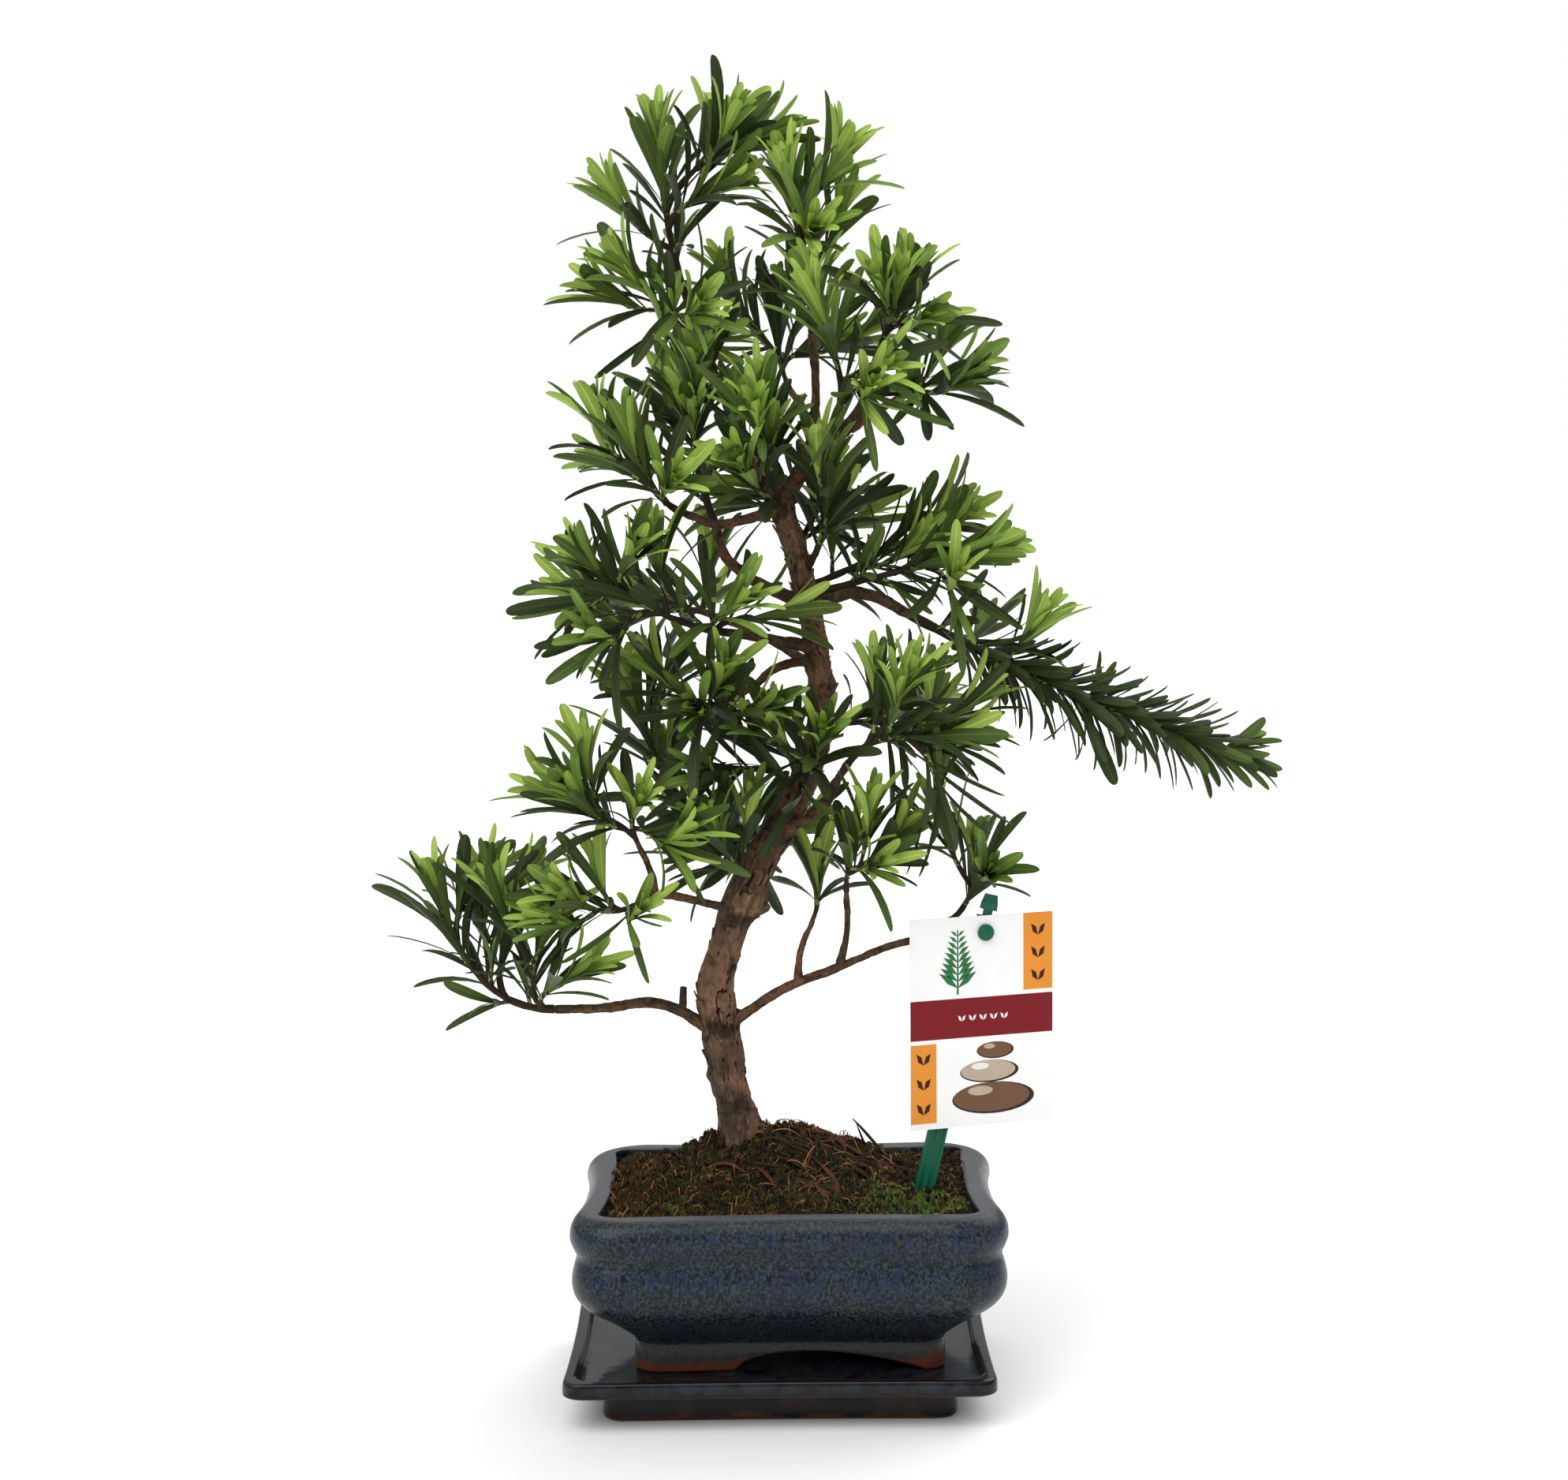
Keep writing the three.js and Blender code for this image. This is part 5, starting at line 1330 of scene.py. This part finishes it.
    def make_tray(self, settings):
        floor_edge = TRAY_HALF_WIDTH - TRAY_RIM
        block, width = TRAY_BLOCK_HALF_WIDTH, TRAY_HALF_WIDTH
        profile = [(20, 0), (block - 1.5, 0), (block, 1.2), (block, 5),
                   (block, TRAY_BLOCK_HEIGHT - 2), (block + 0.6, TRAY_BLOCK_HEIGHT),
                   (width - 3, TRAY_BLOCK_HEIGHT), (width, TRAY_BLOCK_HEIGHT + 1),
                   (width, TRAY_BLOCK_HEIGHT + 3), (width, TRAY_HEIGHT - 2.4),
                   (width - 0.6, TRAY_HEIGHT), (width - 3, TRAY_HEIGHT),
                   (floor_edge, TRAY_HEIGHT), (floor_edge - 1, TRAY_FLOOR + 1),
                   (floor_edge - 3, TRAY_FLOOR), (floor_edge - 8, TRAY_FLOOR), (40, TRAY_FLOOR)]
        heap = pressed_heap(pressed_rings(rounded(profile, 3), TRAY_CORNER, TRAY_MOULD))
        paint = Paint("tray_glaze", 0.16, Specular_IOR_Level=0.22, Coat_Weight=0.05,
                      Coat_Roughness=0.05)
        height = paint.height()
        cloud = paint.noise(35, 5, 0.6)
        body = paint.blend(paint.span(cloud, 0.4, 0.75), settings.tray_glaze, TRAY_CLOUD)
        block_tone = paint.ramp(paint.noise(26, 3, 0.6), TRAY_BLOCK_TONES)
        body = paint.blend(paint.span(height, *TRAY_BLOCK_BAND), body, block_tone)
        lip = paint.between(height, *TRAY_LIP)
        edge = paint.maths("MULTIPLY", lip, paint.span(paint.noise(120, 4), 0.35, 0.6))
        body = paint.blend(edge, body, settings.tray_edge)
        worn = paint.maths("ADD", height, paint.span(cloud, 0.3, 0.7, -0.003, 0.003))
        body = paint.blend(paint.span(worn, *TRAY_CLAY), body, np.array(settings.clay) * 0.5)
        paint.colour(body).rough(paint.span(cloud, 0.3, 0.7, 0.05, 0.16))
        paint.bump(paint.noise(90, 2), 0.12, 0.0008)
        add_piece("tray_glazed", heap, [paint.material], ["tray"])


# A clod is a ball of 14 corners and 12 faces, and the orders deal out finishes by number
CLOD_POINTS = unit(np.array([
    (1, 0, 0), (0, 1, 0), (-1, 0, 0), (0, -1, 0), (0, 0, 1), (0, 0, -1),
    (1, 1, 1), (-1, 1, 1), (-1, -1, 1), (1, -1, 1),
    (1, 1, -1), (-1, 1, -1), (-1, -1, -1), (1, -1, -1)], dtype=float))
CLOD_FACES = [[0, 6, 4, 9], [1, 7, 4, 6], [2, 8, 4, 7], [3, 9, 4, 8],
              [0, 13, 5, 10], [1, 10, 5, 11], [2, 11, 5, 12], [3, 12, 5, 13],
              [0, 10, 1, 6], [1, 11, 2, 7], [2, 12, 3, 8], [3, 13, 0, 9]]
CLOD_ORDER = (0, 1, 0, 2, 0, 1, 0, 1, 0, 3, 0, 2)
FIBRE_ORDER = (2, 1, 0, 2, 2, 1, 2, 0, 2)
FIBRE_TAPER = np.array([0.5, 1, 1, 0.8, 0.3])[:, None]
STRIP_TAPER = np.array([0.3, 0.8, 1, 0.9, 1, 0.7, 0.2])[:, None]
QUAD = [[0, 1, 2, 3]]


class BONSAI_OT_soil(bpy.types.Operator):
    """Make the soil with its fibres, moss and bits of twig"""
    bl_idname = "bonsai.soil"
    bl_label = "Soil and moss"

    def execute(self, context):
        settings = context.scene.bonsai_soil
        self.chance = np.random.default_rng(7)
        self.rim = POT_WALL_AT - 0.4
        self.make_ground(settings)
        self.make_fibres(settings)
        self.make_moss(settings)
        self.make_clods(settings)
        self.make_fern()
        return {"FINISHED"}

    def scatter(self, amount, middle=None, spread=None):
        """Places inside the pot's wall, evenly or round a middle."""
        half = np.array([self.rim - 2, self.rim - POT_MOULD.narrower - 2])
        places = []
        while len(places) < amount:
            if middle is None:
                x, y = self.chance.uniform(-half, half)
            else:
                x, y = self.chance.normal(middle, spread) - (POT_X, 0)
            if (abs(x) / half[0]) ** 8 + (abs(y) / half[1]) ** 8 < 1:
                places.append((x + POT_X, y))
        return np.array(places)

    def within(self, x, y, clear):
        """A place brought in until it is well clear of the pot's wall."""
        deep = self.rim - POT_MOULD.narrower
        return (np.clip(x, POT_X - self.rim + clear, POT_X + self.rim - clear),
                np.clip(y, clear - deep, deep - clear))

    def make_ground(self, settings):
        below = [pressed_ring(self.rim - inset, level, MOUTH_CORNER, POT_MOULD) for inset, level in
                 ((22, POT_INNER_FLOOR + 0.3), (4, POT_INNER_FLOOR + 21), (0.5, SOIL_EDGE - 14))]
        edge = pressed_ring(self.rim, SOIL_EDGE, MOUTH_CORNER, POT_MOULD)
        foot = np.array(TRUNK_BENDS[0][:2])
        shares = np.linspace(1, 0.03, 130)
        rings = mix(foot, edge[None, :, :2], shares[:, None, None])
        heights = soil_surface(rings[..., 0], rings[..., 1])
        top = np.concatenate([rings, heights[..., None]], -1)
        heap = pressed_heap(np.concatenate([below, top]))
        paint = Paint("soil", 0.95, Specular_IOR_Level=0.2)
        crumb = paint.noise(320, 6, 0.7)
        cloud = paint.noise(30, 4)
        tones = [(0.4, settings.dark), (0.56, settings.brown), (0.72, settings.straw)]
        body = paint.ramp(crumb, tones)
        green = mix(np.array(settings.moss), 0.01, 0.5)
        body = paint.blend(paint.span(cloud, 0.5, 0.72, 0, 0.7), body, green)
        paint.colour(body).bump(crumb, 1, 0.003)
        add_piece("soil_heap", heap, [paint.material], ["soil"])

    def make_fibres(self, settings):
        heap = Heap()
        for number, (x, y) in enumerate(self.scatter(settings.fibres)):
            size = self.chance.uniform(2, 9)
            turn = self.chance.uniform(0, 2 * math.pi)
            bend = self.chance.uniform(-0.8, 0.8)
            angles = turn + bend * np.linspace(-0.5, 0.5, 5)
            steps = np.column_stack([np.cos(angles), np.sin(angles)]) * size / 4
            path = np.vstack([[0, 0], np.cumsum(steps[:-1], axis=0)]) + (x, y)
            across, away = self.within(path[:, 0], path[:, 1], 1)
            lift = self.chance.uniform(0.2, 2.6) * np.sin(np.linspace(0.2, 2.9, 5)) + 0.3
            points = np.column_stack([across, away, soil_surface(across, away) + lift])
            thick = 0.1 + 0.26 * self.chance.uniform(0, 1) ** 2
            self.add_thread(heap, points, thick, FIBRE_ORDER[number % len(FIBRE_ORDER)])
        self.add_rootlets(heap)
        straw = np.array(settings.straw)
        tones = (("pale_fibre", 2.1), ("brown_fibre", 0.5), ("dark_fibre", 0.1))
        finishes = [mottled(name, straw * tone, 0.6, (300, 3), 0.8, 0.25).material
                    for name, tone in tones]
        add_piece("soil_fibres", heap, finishes)

    def add_thread(self, heap, points, thick, finish):
        """A fibre of three sides that thins towards its ends."""
        ahead = np.gradient(points, axis=0)
        side = unit(np.cross(ahead, UP))
        over = unit(np.cross(side, ahead))
        taper = FIBRE_TAPER * thick
        rings = np.stack([points + side * taper, points + over * taper, points - side * taper], 1)
        heap.add(rings, grid_faces(5, 3, True), finish)

    def add_rootlets(self, heap):
        """Rootlets that arch over the heap, and the bits of twig."""
        chance = np.random.default_rng(11)
        arches = list(TWIG_BITS)
        for number in range(ROOTLETS):
            start = chance.normal((8, -14), (26, 13))
            turn, size = chance.uniform(0, 6.28), chance.uniform(9, 24)
            end = start + size * np.array([math.cos(turn), 0.6 * math.sin(turn)])
            rise, thick = chance.uniform(1, 3.4), chance.uniform(0.16, 0.36)
            arches.append((start, end, rise, thick, number % 2))
        share = np.linspace(0, 1, 5)
        for start, end, rise, thick, finish in arches:
            flat = mix(np.array(start, dtype=float), np.array(end, dtype=float), share[:, None])
            ground = soil_surface(flat[:, 0], flat[:, 1])
            arch = np.sin(math.pi * share) if finish < 2 else share
            levels = mix(ground[0], ground[-1], share) + rise * arch + 0.2
            self.add_thread(heap, np.column_stack([flat, levels]), thick, finish)

    def make_fern(self):
        """A small fern at the front left, and a pale chip at the front right."""
        heap = Heap()
        foot = np.array([*FERN_PLACE, soil_level(*FERN_PLACE)])
        for frond in range(FERN_FRONDS):
            turn = frond * GOLDEN_ANGLE
            out = np.array([math.cos(turn), math.sin(turn), 0])
            side = np.array([-out[1], out[0], 0])
            for pair in range(1, 6):
                middle = foot + out * 1.4 * pair + UP * (2.6 + 0.5 * pair - 0.14 * pair ** 2)
                size = 1.7 - 0.2 * pair
                for hand in (-1, 1):
                    tip = middle + hand * side * size + out * 0.5 * size
                    half = mix(middle, tip, 0.5)
                    heap.add([middle - out * 0.4, half - out * 0.4, tip, half + out * 0.5], QUAD)
        angles = np.linspace(0, 2 * math.pi, CHIP_CORNERS, endpoint=False)
        shape = np.column_stack([2.9 * np.cos(angles), 1.7 * np.sin(angles), 0.9 * np.cos(angles)])
        level = soil_level(*CHIP_PLACE) + 1
        low, high = (shape * size + (*CHIP_PLACE, level + raised)
                     for raised, size in ((0, 1), (0.9, 0.8)))
        whole = [list(range(CHIP_CORNERS))]
        heap.add(low, whole, 1)
        heap.add(high, whole, 1)
        heap.add(np.stack([low, high]), grid_faces(2, CHIP_CORNERS, True), 1)
        finishes = [mottled("fern_green", (0.14, 0.26, 0.04), 0.6, (260, 3)).material,
                    mottled("pale_chip", (0.42, 0.34, 0.22), 0.6, (260, 3)).material]
        add_piece("fern_and_chip", heap, finishes, smooth=False)

    def make_clods(self, settings):
        """Crumbs and lumps of soil, and strips of bark on the heap."""
        heap = Heap()
        for number, (x, y) in enumerate(self.scatter(settings.clods)):
            size = 0.4 + 1.3 * self.chance.uniform(0, 1) ** 3
            half = size * self.chance.uniform(0.5, 1.2, 3)
            turned = np.array(Euler(self.chance.uniform(0, 6.28, 3)).to_matrix())
            lumps = self.chance.uniform(0.7, 1.2, (len(CLOD_POINTS), 1))
            points = (CLOD_POINTS * lumps * half) @ turned
            x, y = self.within(x, y, 3)
            middle = np.array([x, y, soil_level(x, y) + half.min() * 0.4])
            heap.add(points + middle, CLOD_FACES, CLOD_ORDER[number % len(CLOD_ORDER)])
        for number in range(settings.strips):
            turn = self.chance.normal(-0.35, 0.5)
            size = self.chance.uniform(12, 30)
            start = np.array([self.chance.normal(14, 26), self.chance.normal(-12, 16)])
            along = np.linspace(-0.5, 0.5, 7)
            bend = turn + self.chance.normal(0, 0.5) * along
            path = start + np.column_stack([np.cos(bend), np.sin(bend)]) * (size * along)[:, None]
            levels = soil_height(path[:, 0], path[:, 1]) + self.chance.uniform(0.6, 1.8)
            points = np.column_stack([path, levels])
            side = unit(np.cross(np.gradient(points, axis=0), UP))
            wide = self.chance.uniform(0.7, 1.9) * STRIP_TAPER
            over = UP * wide * 0.5
            rings = [points + side * wide, points + over, points - side * wide, points - over]
            heap.add(np.stack(rings, 1), grid_faces(7, 4, True), 1 + number % 2)
        finishes = []
        for name, tone in (("dark_clod", settings.dark), ("brown_clod", settings.brown),
                           ("red_clod", settings.bark), ("pale_clod", settings.straw)):
            paint = mottled(name, tone, 0.5, (420, 4, 0.6), 0.9, lighter=1.3)
            finishes.append(paint.bump(paint.noise(700, 3), 0.5, 0.0004).material)
        add_piece("soil_clods", heap, finishes, smooth=False)

    def make_moss(self, settings):
        heap = Heap()
        for patch, spread, finish, share in MOSS_PATCHES:
            places = self.scatter(round(settings.sprigs * share), patch, spread)
            levels = soil_surface(places[:, 0], places[:, 1])
            for (x, y), level in zip(places, levels):
                tall = self.chance.uniform(1.0, 2.8)
                turn = self.chance.uniform(0, 2 * math.pi)
                lean = self.chance.normal(0, 0.5, 2)
                side = np.array([math.cos(turn), math.sin(turn), 0]) * self.chance.uniform(0.3, 0.6)
                foot = np.array([x, y, level - 0.2])
                top = foot + (lean[0], lean[1], tall)
                middle = mix(foot, top, 0.55)
                heap.add([foot, middle + side, top, middle - side], QUAD, finish)
        finishes = [mottled(name, getattr(settings, name), 0.45, (200, 3)).material
                    for name in ("moss", "bright_moss", "rusty_moss")]
        add_piece("moss_sprigs", heap, finishes, smooth=False)


# The card's finishes in order
CARD, BARS, BAND, BRONZE, SPRIG, PALE, BROWN, WHITE, DARK = range(9)


class BONSAI_OT_label(bpy.types.Operator):
    """Make the card with its print, and the stick that it is pinned to"""
    bl_idname = "bonsai.label"
    bl_label = "Plant label"

    def execute(self, context):
        settings = context.scene.bonsai_label
        self.make_card(settings)
        self.make_stick(settings)
        return {"FINISHED"}

    def make_stick(self, settings):
        """The ribbed stick with its knob, and the pin that holds the card."""
        half = STICK_WIDTH / 2
        front = CARD_THICKNESS + 0.6
        valley, rear, middle = front + 0.8, front + STICK_THICKNESS, front + STICK_THICKNESS / 2
        ribs = [(-half, rear), (-half, front), (1.4 - half, front), (1.8 - half, valley),
                (-0.9, valley), (-0.5, front), (0.5, front), (0.9, valley),
                (half - 1.8, valley), (half - 1.4, front), (half, front), (half, rear)]
        heap = Heap()

        def bar(rows):
            rings = [[card_place(u, v, up, STICK_LEAN) for u, v in ring] for ring, up in rows]
            heap.add(np.array(rings), grid_faces(len(rings), len(rings[0]), True))
            corners = list(range(len(rings[0])))
            heap.add(rings[0], [corners[::-1]])
            heap.add(rings[-1], [corners])

        def block(width, depth):
            return [(-width, middle - depth), (width, middle - depth),
                    (width, middle + depth), (-width, middle + depth)]

        neck = block(2.2, 0.9)
        bar([(ribs, STICK_FOOT), (ribs, STICK_TOP)])
        bar([(neck, STICK_TOP - 1), (neck, STICK_TOP + 4)])
        bar([(block(3.8, 2), STICK_TOP + 3), (block(3.6, 2), STICK_TOP + 6),
             (block(2.8, 1.5), STICK_TOP + 10.3)])
        turns = np.linspace(0, 2 * math.pi, 24, endpoint=False)
        button = [(0.2, -3.3), (0.6 * BUTTON_RADIUS, -3.1), (0.9 * BUTTON_RADIUS, -2.4),
                  (BUTTON_RADIUS, -1.5), (BUTTON_RADIUS, -0.3), (1.6, -0.3), (1.6, middle)]
        rings = [[card_place(radius * math.cos(turn), away, radius * math.sin(turn))
                  for turn in turns] for radius, away in button]
        heap.add(np.array(rings), grid_faces(len(rings), len(turns), True))
        paint = Paint("green_plastic", 0.35, Specular_IOR_Level=0.3)
        sheen = paint.noise(60, 3)
        tone = np.array(settings.stick)
        paint.colour(paint.blend(sheen, tone, tone * 0.75))
        paint.rough(paint.span(sheen, 0.3, 0.7, 0.28, 0.42))
        paint.bump(paint.noise(500, 2), 0.1, 0.0002)
        stick = add_piece("stick_moulded", heap, [paint.material], ["label_stick"],
                          smooth=False)
        bevel = stick.modifiers.new("soft_edges", "BEVEL")
        bevel.width = 0.0002
        bevel.segments = 2

    def make_card(self, settings):
        """The card with its pin hole, and the print that lies a hair proud of it."""
        heap = Heap()
        corners = [(CARD_LEFT, CARD_BOTTOM), (CARD_RIGHT, CARD_BOTTOM),
                   (CARD_RIGHT, CARD_TOP), (CARD_LEFT, CARD_TOP)]
        steps = 8
        outer = np.array([(mix(a, c, i / steps), mix(b, d, i / steps))
                          for (a, b), (c, d) in zip(corners, corners[1:] + corners[:1])
                          for i in range(steps)])
        angles = np.arctan2(outer[:, 1], outer[:, 0])
        hole = PIN_HOLE * np.column_stack([np.cos(angles), np.sin(angles)])
        back = CARD_THICKNESS
        rings = [[card_place(u, away, v) for u, v in ring]
                 for ring, away in ((hole, 0), (outer, 0), (outer, back), (hole, back), (hole, 0))]
        heap.add(np.array(rings), grid_faces(len(rings), len(outer), True), CARD)
        bar, low_bar = CARD_RIGHT - BAR_WIDTH, CARD_LEFT + LOW_BAR_WIDTH
        self.print_box(heap, bar, CARD_RIGHT, TOP_BAR_FOOT, CARD_TOP, BARS)
        self.print_box(heap, CARD_LEFT, low_bar, *LOW_BAR_LEVELS, BARS)
        self.print_box(heap, CARD_LEFT, CARD_RIGHT, *BAND_LEVELS, BAND)
        for across, levels in ((CARD_RIGHT - BAR_WIDTH / 2, (0, -11, -22)),
                               (CARD_LEFT + LOW_BAR_WIDTH / 2, (-59, -71, -83))):
            for level in levels:
                self.print_pair(heap, across, level, 3.6, BROWN)
        for pair in range(5):
            self.print_pair(heap, 5.4 * pair - 12, -40.5, 1.9, WHITE)
        self.print_sprig(heap)
        self.print_pebbles(heap)
        finishes = [self.ink("card_white", settings.white, 0.32)]
        for name, tone in (("orange_ink", settings.orange), ("red_ink", settings.red),
                           ("bronze_ink", settings.bronze), ("green_ink", settings.leaf),
                           ("pale_ink", PALE_INK), ("brown_ink", BROWN_INK),
                           ("white_ink", WHITE_INK), ("dark_ink", DARK_INK)):
            finishes.append(self.ink(name, tone, 0.3))
        add_piece("card_printed", heap, finishes, ["label_card"], smooth=False)

    def ink(self, name, tone, roughness):
        paint = mottled(name, tone, 0.88, (70, 3), roughness, 0.16)
        return paint.bump(paint.noise(600, 2), 0.08, 0.0001).material

    def print_flat(self, heap, points, finish, proud=0.06):
        places = [card_place(u, -proud, v) for u, v in points]
        heap.add(places, [list(range(len(places)))], finish)

    def print_box(self, heap, left, right, bottom, top, finish):
        corners = [(left, bottom), (right, bottom), (right, top), (left, top)]
        self.print_flat(heap, corners, finish)

    def print_leaves(self, heap, across, level, shape, finish, proud):
        """One leaf and its mirror image, from the foot that they share."""
        for side in (-1, 1):
            points = [(across + side * u, level + v) for u, v in shape]
            self.print_flat(heap, points[::side], finish, proud)

    def print_pair(self, heap, across, level, size, finish):
        """Two small leaves that part from one foot."""
        shape = [(0, -0.8), (0.75, -0.35), (1, 0.75), (0.3, 0.35)]
        leaf = [(size * u, size * v) for u, v in shape]
        self.print_leaves(heap, across, level, leaf, finish, 0.08)

    def print_sprig(self, heap):
        """A plain upright sprig with leaves in pairs."""
        shape = [(0, 0), (0.55, 0.25), (1, 0.8), (0.4, 0.62)]
        for pair in range(9):
            size = 9.5 - 0.75 * pair
            leaf = [(size * u, size * v) for u, v in shape]
            self.print_leaves(heap, SPRIG_ACROSS, -26 + 3.1 * pair, leaf, SPRIG, 0.09)
        stem = [(SPRIG_ACROSS + u, v) for u, v in ((-0.5, -29), (0.5, -29), (0.3, 2), (-0.3, 2))]
        self.print_flat(heap, stem, SPRIG, 0.08)

    def print_pebbles(self, heap):
        """Three round pebbles lying on each other, each with its shade and its light."""
        angles = np.linspace(0, 2 * math.pi, 28, endpoint=False)
        for middle, half, finish in PEBBLES:
            light = PALE if finish == BRONZE else WHITE
            for size, lift, tone in ((1, 0, DARK), (0.93, 0.06, finish), (0.3, 0.45, light)):
                ring = [(middle[0] + half[0] * (size * math.cos(a) - 0.7 * lift),
                         middle[1] + half[1] * (size * 0.9 * math.sin(a) + lift)) for a in angles]
                self.print_flat(heap, ring, tone, 0.07 + 0.02 * (1 - size))


class BONSAI_OT_stage(bpy.types.Operator):
    """Lay the floor, hang the lights and set the camera"""
    bl_idname = "bonsai.stage"
    bl_label = "Stage"

    def execute(self, context):
        settings = context.scene.bonsai_stage
        scene = context.scene
        size = FLOOR_HALF_SIZE * MM
        mesh = bpy.data.meshes.new("floor")
        mesh.from_pydata([(-size, -size, 0), (size, -size, 0), (size, size, 0), (-size, size, 0)],
                         [], QUAD)
        floor = bpy.data.objects.new("floor", mesh)
        scene.collection.objects.link(floor)
        paint = mottled("pale_floor", settings.floor, 0.985, (2, 2), 0.6)
        mesh.materials.append(paint.material)
        self.light_room(scene, settings)
        self.hang_suns(scene, settings)
        camera = bpy.data.cameras.new("camera")
        camera.lens = settings.focal
        camera.sensor_width = 36
        camera.clip_end = 100
        viewer = bpy.data.objects.new("camera", camera)
        scene.collection.objects.link(viewer)
        viewer.location = CAMERA_PLACE
        viewer.rotation_mode = "QUATERNION"
        tilt = Quaternion((1, 0, 0), math.radians(90 - CAMERA_DOWN))
        viewer.rotation_quaternion = tilt @ Quaternion((0, 0, 1), math.radians(CAMERA_ROLL))
        scene.camera = viewer
        return {"FINISHED"}

    def light_room(self, scene, settings):
        """A room that is bright overhead and dimmer at the sides, before a white backdrop."""
        world = bpy.data.worlds.new("pale_room")
        world.use_nodes = True
        tree = world.node_tree
        nodes, link = tree.nodes, tree.links.new
        room = nodes["Background"]
        height = nodes.new("ShaderNodeSeparateXYZ")
        link(nodes.new("ShaderNodeTexCoord").outputs["Generated"], height.inputs[0])
        level = nodes.new("ShaderNodeMapRange")
        link(height.outputs[2], level.inputs["Value"])
        for key, value in (("From Min", -0.1), ("From Max", 0.9),
                           ("To Min", settings.sides), ("To Max", settings.air)):
            level.inputs[key].default_value = value
        link(level.outputs[0], room.inputs["Strength"])
        backdrop = nodes.new("ShaderNodeBackground")
        for background in (room, backdrop):
            background.inputs["Color"].default_value = (1, 1, 1, 1)
        chooser = nodes.new("ShaderNodeMixShader")
        link(nodes.new("ShaderNodeLightPath").outputs["Is Camera Ray"], chooser.inputs[0])
        link(room.outputs[0], chooser.inputs[1])
        link(backdrop.outputs[0], chooser.inputs[2])
        link(chooser.outputs[0], nodes["World Output"].inputs["Surface"])
        scene.world = world
        scene.view_settings.view_transform = "Standard"
        scene.view_settings.look = "None"

    def hang_suns(self, scene, settings):
        """Two wide, soft suns that shine at the middle of the stage."""
        for name, source, power in (("main_light", MAIN_SUN, settings.main),
                                    ("back_light", BACK_SUN, settings.back)):
            light = bpy.data.lights.new(name, "SUN")
            light.energy = power
            light.angle = math.radians(SUN_WIDTH)
            lamp = bpy.data.objects.new(name, light)
            scene.collection.objects.link(lamp)
            lamp.location = source
            lamp.rotation_mode = "QUATERNION"
            lamp.rotation_quaternion = (-lamp.location).to_track_quat("-Z", "Y")


class BONSAI_PT_panel(bpy.types.Panel):
    """The pieces of the potted tree and their sizes and colours"""
    bl_idname = "BONSAI_PT_panel"
    bl_label = "Potted tree"
    bl_space_type = "VIEW_3D"
    bl_region_type = "UI"
    bl_category = "Bonsai"

    def draw(self, context):
        for operators, group in PANEL_ROWS:
            box = self.layout.box()
            for name in operators:
                box.operator(name)
            settings = getattr(context.scene, group)
            for key in settings.bl_rna.properties.keys():
                if key not in {"rna_type", "name"}:
                    box.prop(settings, key)


PANEL_ROWS = [
    (["bonsai.trunk", "bonsai.boughs", "bonsai.foliage"], "bonsai_tree"),
    (["bonsai.pot"], "bonsai_pot"),
    (["bonsai.soil"], "bonsai_soil"),
    (["bonsai.label"], "bonsai_label"),
    (["bonsai.stage"], "bonsai_stage"),
]

GROUPS = {
    "bonsai_tree": TreeSettings,
    "bonsai_pot": PotSettings,
    "bonsai_soil": SoilSettings,
    "bonsai_label": LabelSettings,
    "bonsai_stage": StageSettings,
}

CLASSES = [*GROUPS.values(), BONSAI_OT_trunk, BONSAI_OT_boughs, BONSAI_OT_foliage, BONSAI_OT_pot,
           BONSAI_OT_soil, BONSAI_OT_label, BONSAI_OT_stage, BONSAI_PT_panel]


def register():
    for cls in CLASSES:
        bpy.utils.register_class(cls)
    for name, group in GROUPS.items():
        setattr(bpy.types.Scene, name, PointerProperty(type=group))


def unregister():
    for name in GROUPS:
        delattr(bpy.types.Scene, name)
    for cls in reversed(CLASSES):
        bpy.utils.unregister_class(cls)


def main():
    register()
    for operators, _group in PANEL_ROWS:
        for name in operators:
            getattr(bpy.ops.bonsai, name.split(".")[1])()
    bpy.context.view_layer.update()


if __name__ == "__main__":
    main()
